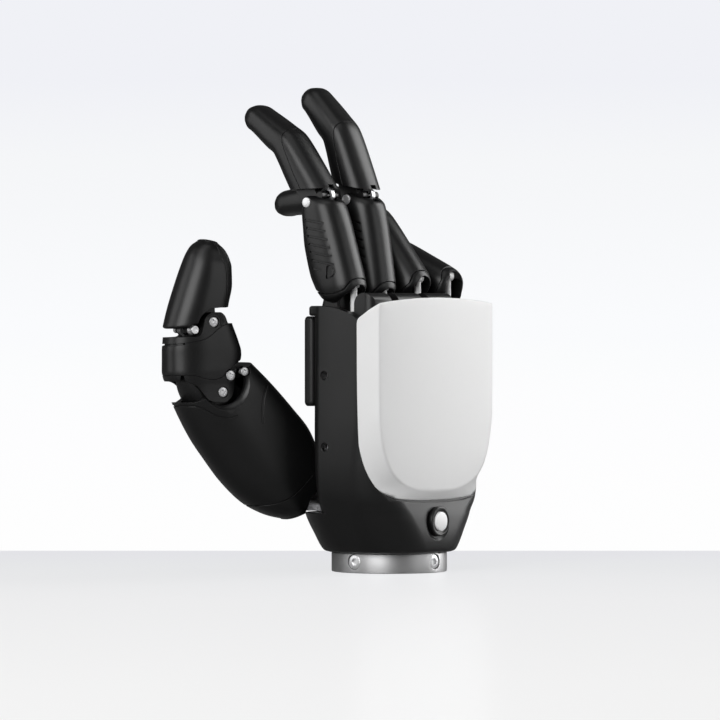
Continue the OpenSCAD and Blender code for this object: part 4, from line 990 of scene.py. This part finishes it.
def make_bracket():
    outline = [(-4, 23.7), (5, 23.7), (6, 26.2), (2.4, 32), (-9.6, 35.6), (-14, 35.2), (-15.4, 31), (-13, 28)]
    foot = [(-7.8, 23.7), (-7.8, 26.2), (-5, 27), (0, 27), (0, 23.7)]
    pocket = [(-7.6, 28), (-2.5, 27.9), (1.2, 29.2), (-1.2, 31.2), (-6.2, 32)]
    arm = plus(prism("arm", rounded(outline, 0.9), 12), prism("foot", rounded(foot, 0.5), 11.6))
    minus(arm, *[prism("pocket", rounded(pocket, 0.7), 2.4, s * 6) for s in SIDES])
    minus(arm, disc("pin", 4.04, 14, PITCH_AT))
    turn = lathe("turn", [(2.7, 18.6), (3, 18.9), (3, 23.55), (6.2, 23.6), (6.5, 23.9), (6.5, 26.1),
                          (6.2, 26.4), (0.3, 26.4)], 72)
    stand(turn, shift(-THUMB_SIDE, 0, 0))
    minus(turn, loft("clip", [slab(30, -30, -3.4, 1, 1, z) for z in (23.3, 40)]))
    thumb_piece(plus(arm, turn), "thumb_yaw", "thumb_yaw_bracket", LINK)


make_thumb_base()
make_bracket()
make_thumb_middle()
make_thumb_tip()
make_thumb_screws()


# ---- floor, backdrop and light --------------------------------------------------------
LINE = 0.166        # how far behind the part the painted line of the floor lies
FLOOR_HALF = 12.0
WORLD_FILL = 0.08   # the world's light on the part


def place_floor():
    """Floor whose tone the camera sees as painted, and every other ray as plain grey."""
    mesh = bpy.data.meshes.new("floor")
    corners = [(x * FLOOR_HALF, y * FLOOR_HALF, 0) for x, y in ((-1, -1), (1, -1), (1, 1), (-1, 1))]
    mesh.from_pydata(corners, [], [(0, 1, 2, 3)])
    floor = bpy.data.objects.new("floor", mesh)
    scene.collection.objects.link(floor)
    mat, s = material("floor")
    mesh.materials.append(mat)
    along = s.add("VectorMath", operation="DOT_PRODUCT")
    s.set(along, 0, s.add("TexCoord").outputs["Object"])
    s.set(along, 1, FLAT_FORWARD)
    depth = along.outputs["Value"]
    # tone by depth, all a glow: near and white, then painted shade darkening the floor towards the painted
    # line, then the backdrop
    near_tone_painted_shade = s.ramp(s.part(depth, -0.6, 1.8), [
        (0.0, grey(254, 254, 254)), (0.17, grey(250, 250, 251)), (0.27, grey(243, 244, 246)),
        (0.319, grey(240, 240, 245)), (0.3205, grey(254, 254, 254)), (1.0, grey(254, 254, 254))])
    far_tone = s.ramp(s.part(depth, 0.2, 15.0), [
        (0.0, grey(254, 254, 254)), (0.12, grey(253, 253, 254)), (0.5, grey(251, 252, 253)),
        (1.0, grey(250, 251, 253))])
    beyond = s.math("GREATER_THAN", depth, LINE)
    glow = s.add("Emission", Strength=1.0, Color=s.blend(beyond, near_tone_painted_shade, far_tone))
    matte = s.add("BsdfPrincipled", Roughness=0.22)
    s.set(matte, "Base Color", (0.86, 0.86, 0.87, 1))
    s.set(matte, "Specular IOR Level", 0.5)
    gloss_share = s.math("MULTIPLY", s.math("SUBTRACT", 1.0, beyond), 0.2)
    seen = s.pick(gloss_share, glow.outputs[0], matte.outputs[0])
    plain = s.add("BsdfDiffuse", Color=(0.3, 0.3, 0.3, 1))
    is_camera = s.add("LightPath").outputs["Is Camera Ray"]
    s.add("OutputMaterial", Surface=s.pick(is_camera, plain.outputs[0], seen))


def light_world():
    world = bpy.data.worlds.new("studio")
    scene.world = world
    world.use_nodes = True
    s = Shader(world.node_tree)
    height = s.add("SeparateXYZ", Vector=s.add("TexCoord").outputs["Generated"]).outputs[2]
    # backdrop tone by height, painted shade: darker upwards from the horizon
    tone = s.ramp(s.part(height, -0.01, 0.06), [
        (0.0, grey(250, 251, 253)), (0.1, grey(250, 251, 253)), (0.43, grey(246, 247, 249)),
        (0.55, grey(245, 246, 248)), (0.77, grey(240, 241, 246)), (1.0, grey(240, 241, 246))])
    seen = s.add("Background", Color=tone, Strength=1.0)
    fill = s.add("Background", Color=(1, 1, 1, 1), Strength=WORLD_FILL)
    is_camera = s.add("LightPath").outputs["Is Camera Ray"]
    s.add("OutputWorld", Surface=s.pick(is_camera, fill.outputs[0], seen.outputs[0]))


def softbox(name, side_deg, rise_deg, distance, width, height, power):
    """Area lamp side_deg to the right of the camera's direction, as seen from the object."""
    away = (spin(side_deg, "Z").to_3x3() @ (-FLAT_FORWARD)) * math.cos(math.radians(rise_deg))
    away.z = math.sin(math.radians(rise_deg))
    lamp = bpy.data.objects.new(name, bpy.data.lights.new(name, "AREA"))
    scene.collection.objects.link(lamp)
    lamp.location = TARGET + away * distance
    lamp.rotation_euler = (-away).to_track_quat("-Z", "Y").to_euler()
    lamp.data.shape = "RECTANGLE"
    lamp.data.size = width
    lamp.data.size_y = height
    lamp.data.energy = power


place_floor()
light_world()
softbox("left_box", -80, 16, 1.5, 0.9, 1.3, 6)
softbox("left_key", -24, 22, 1.5, 1.0, 1.2, 17.5)
softbox("side_box", 62, 10, 1.5, 0.8, 1.3, 4.5)
softbox("right_key", 112, 16, 0.9, 0.45, 0.9, 6.2)
softbox("top_box", 10, 70, 1.6, 1.0, 1.0, 3)

bpy.context.view_layer.update()
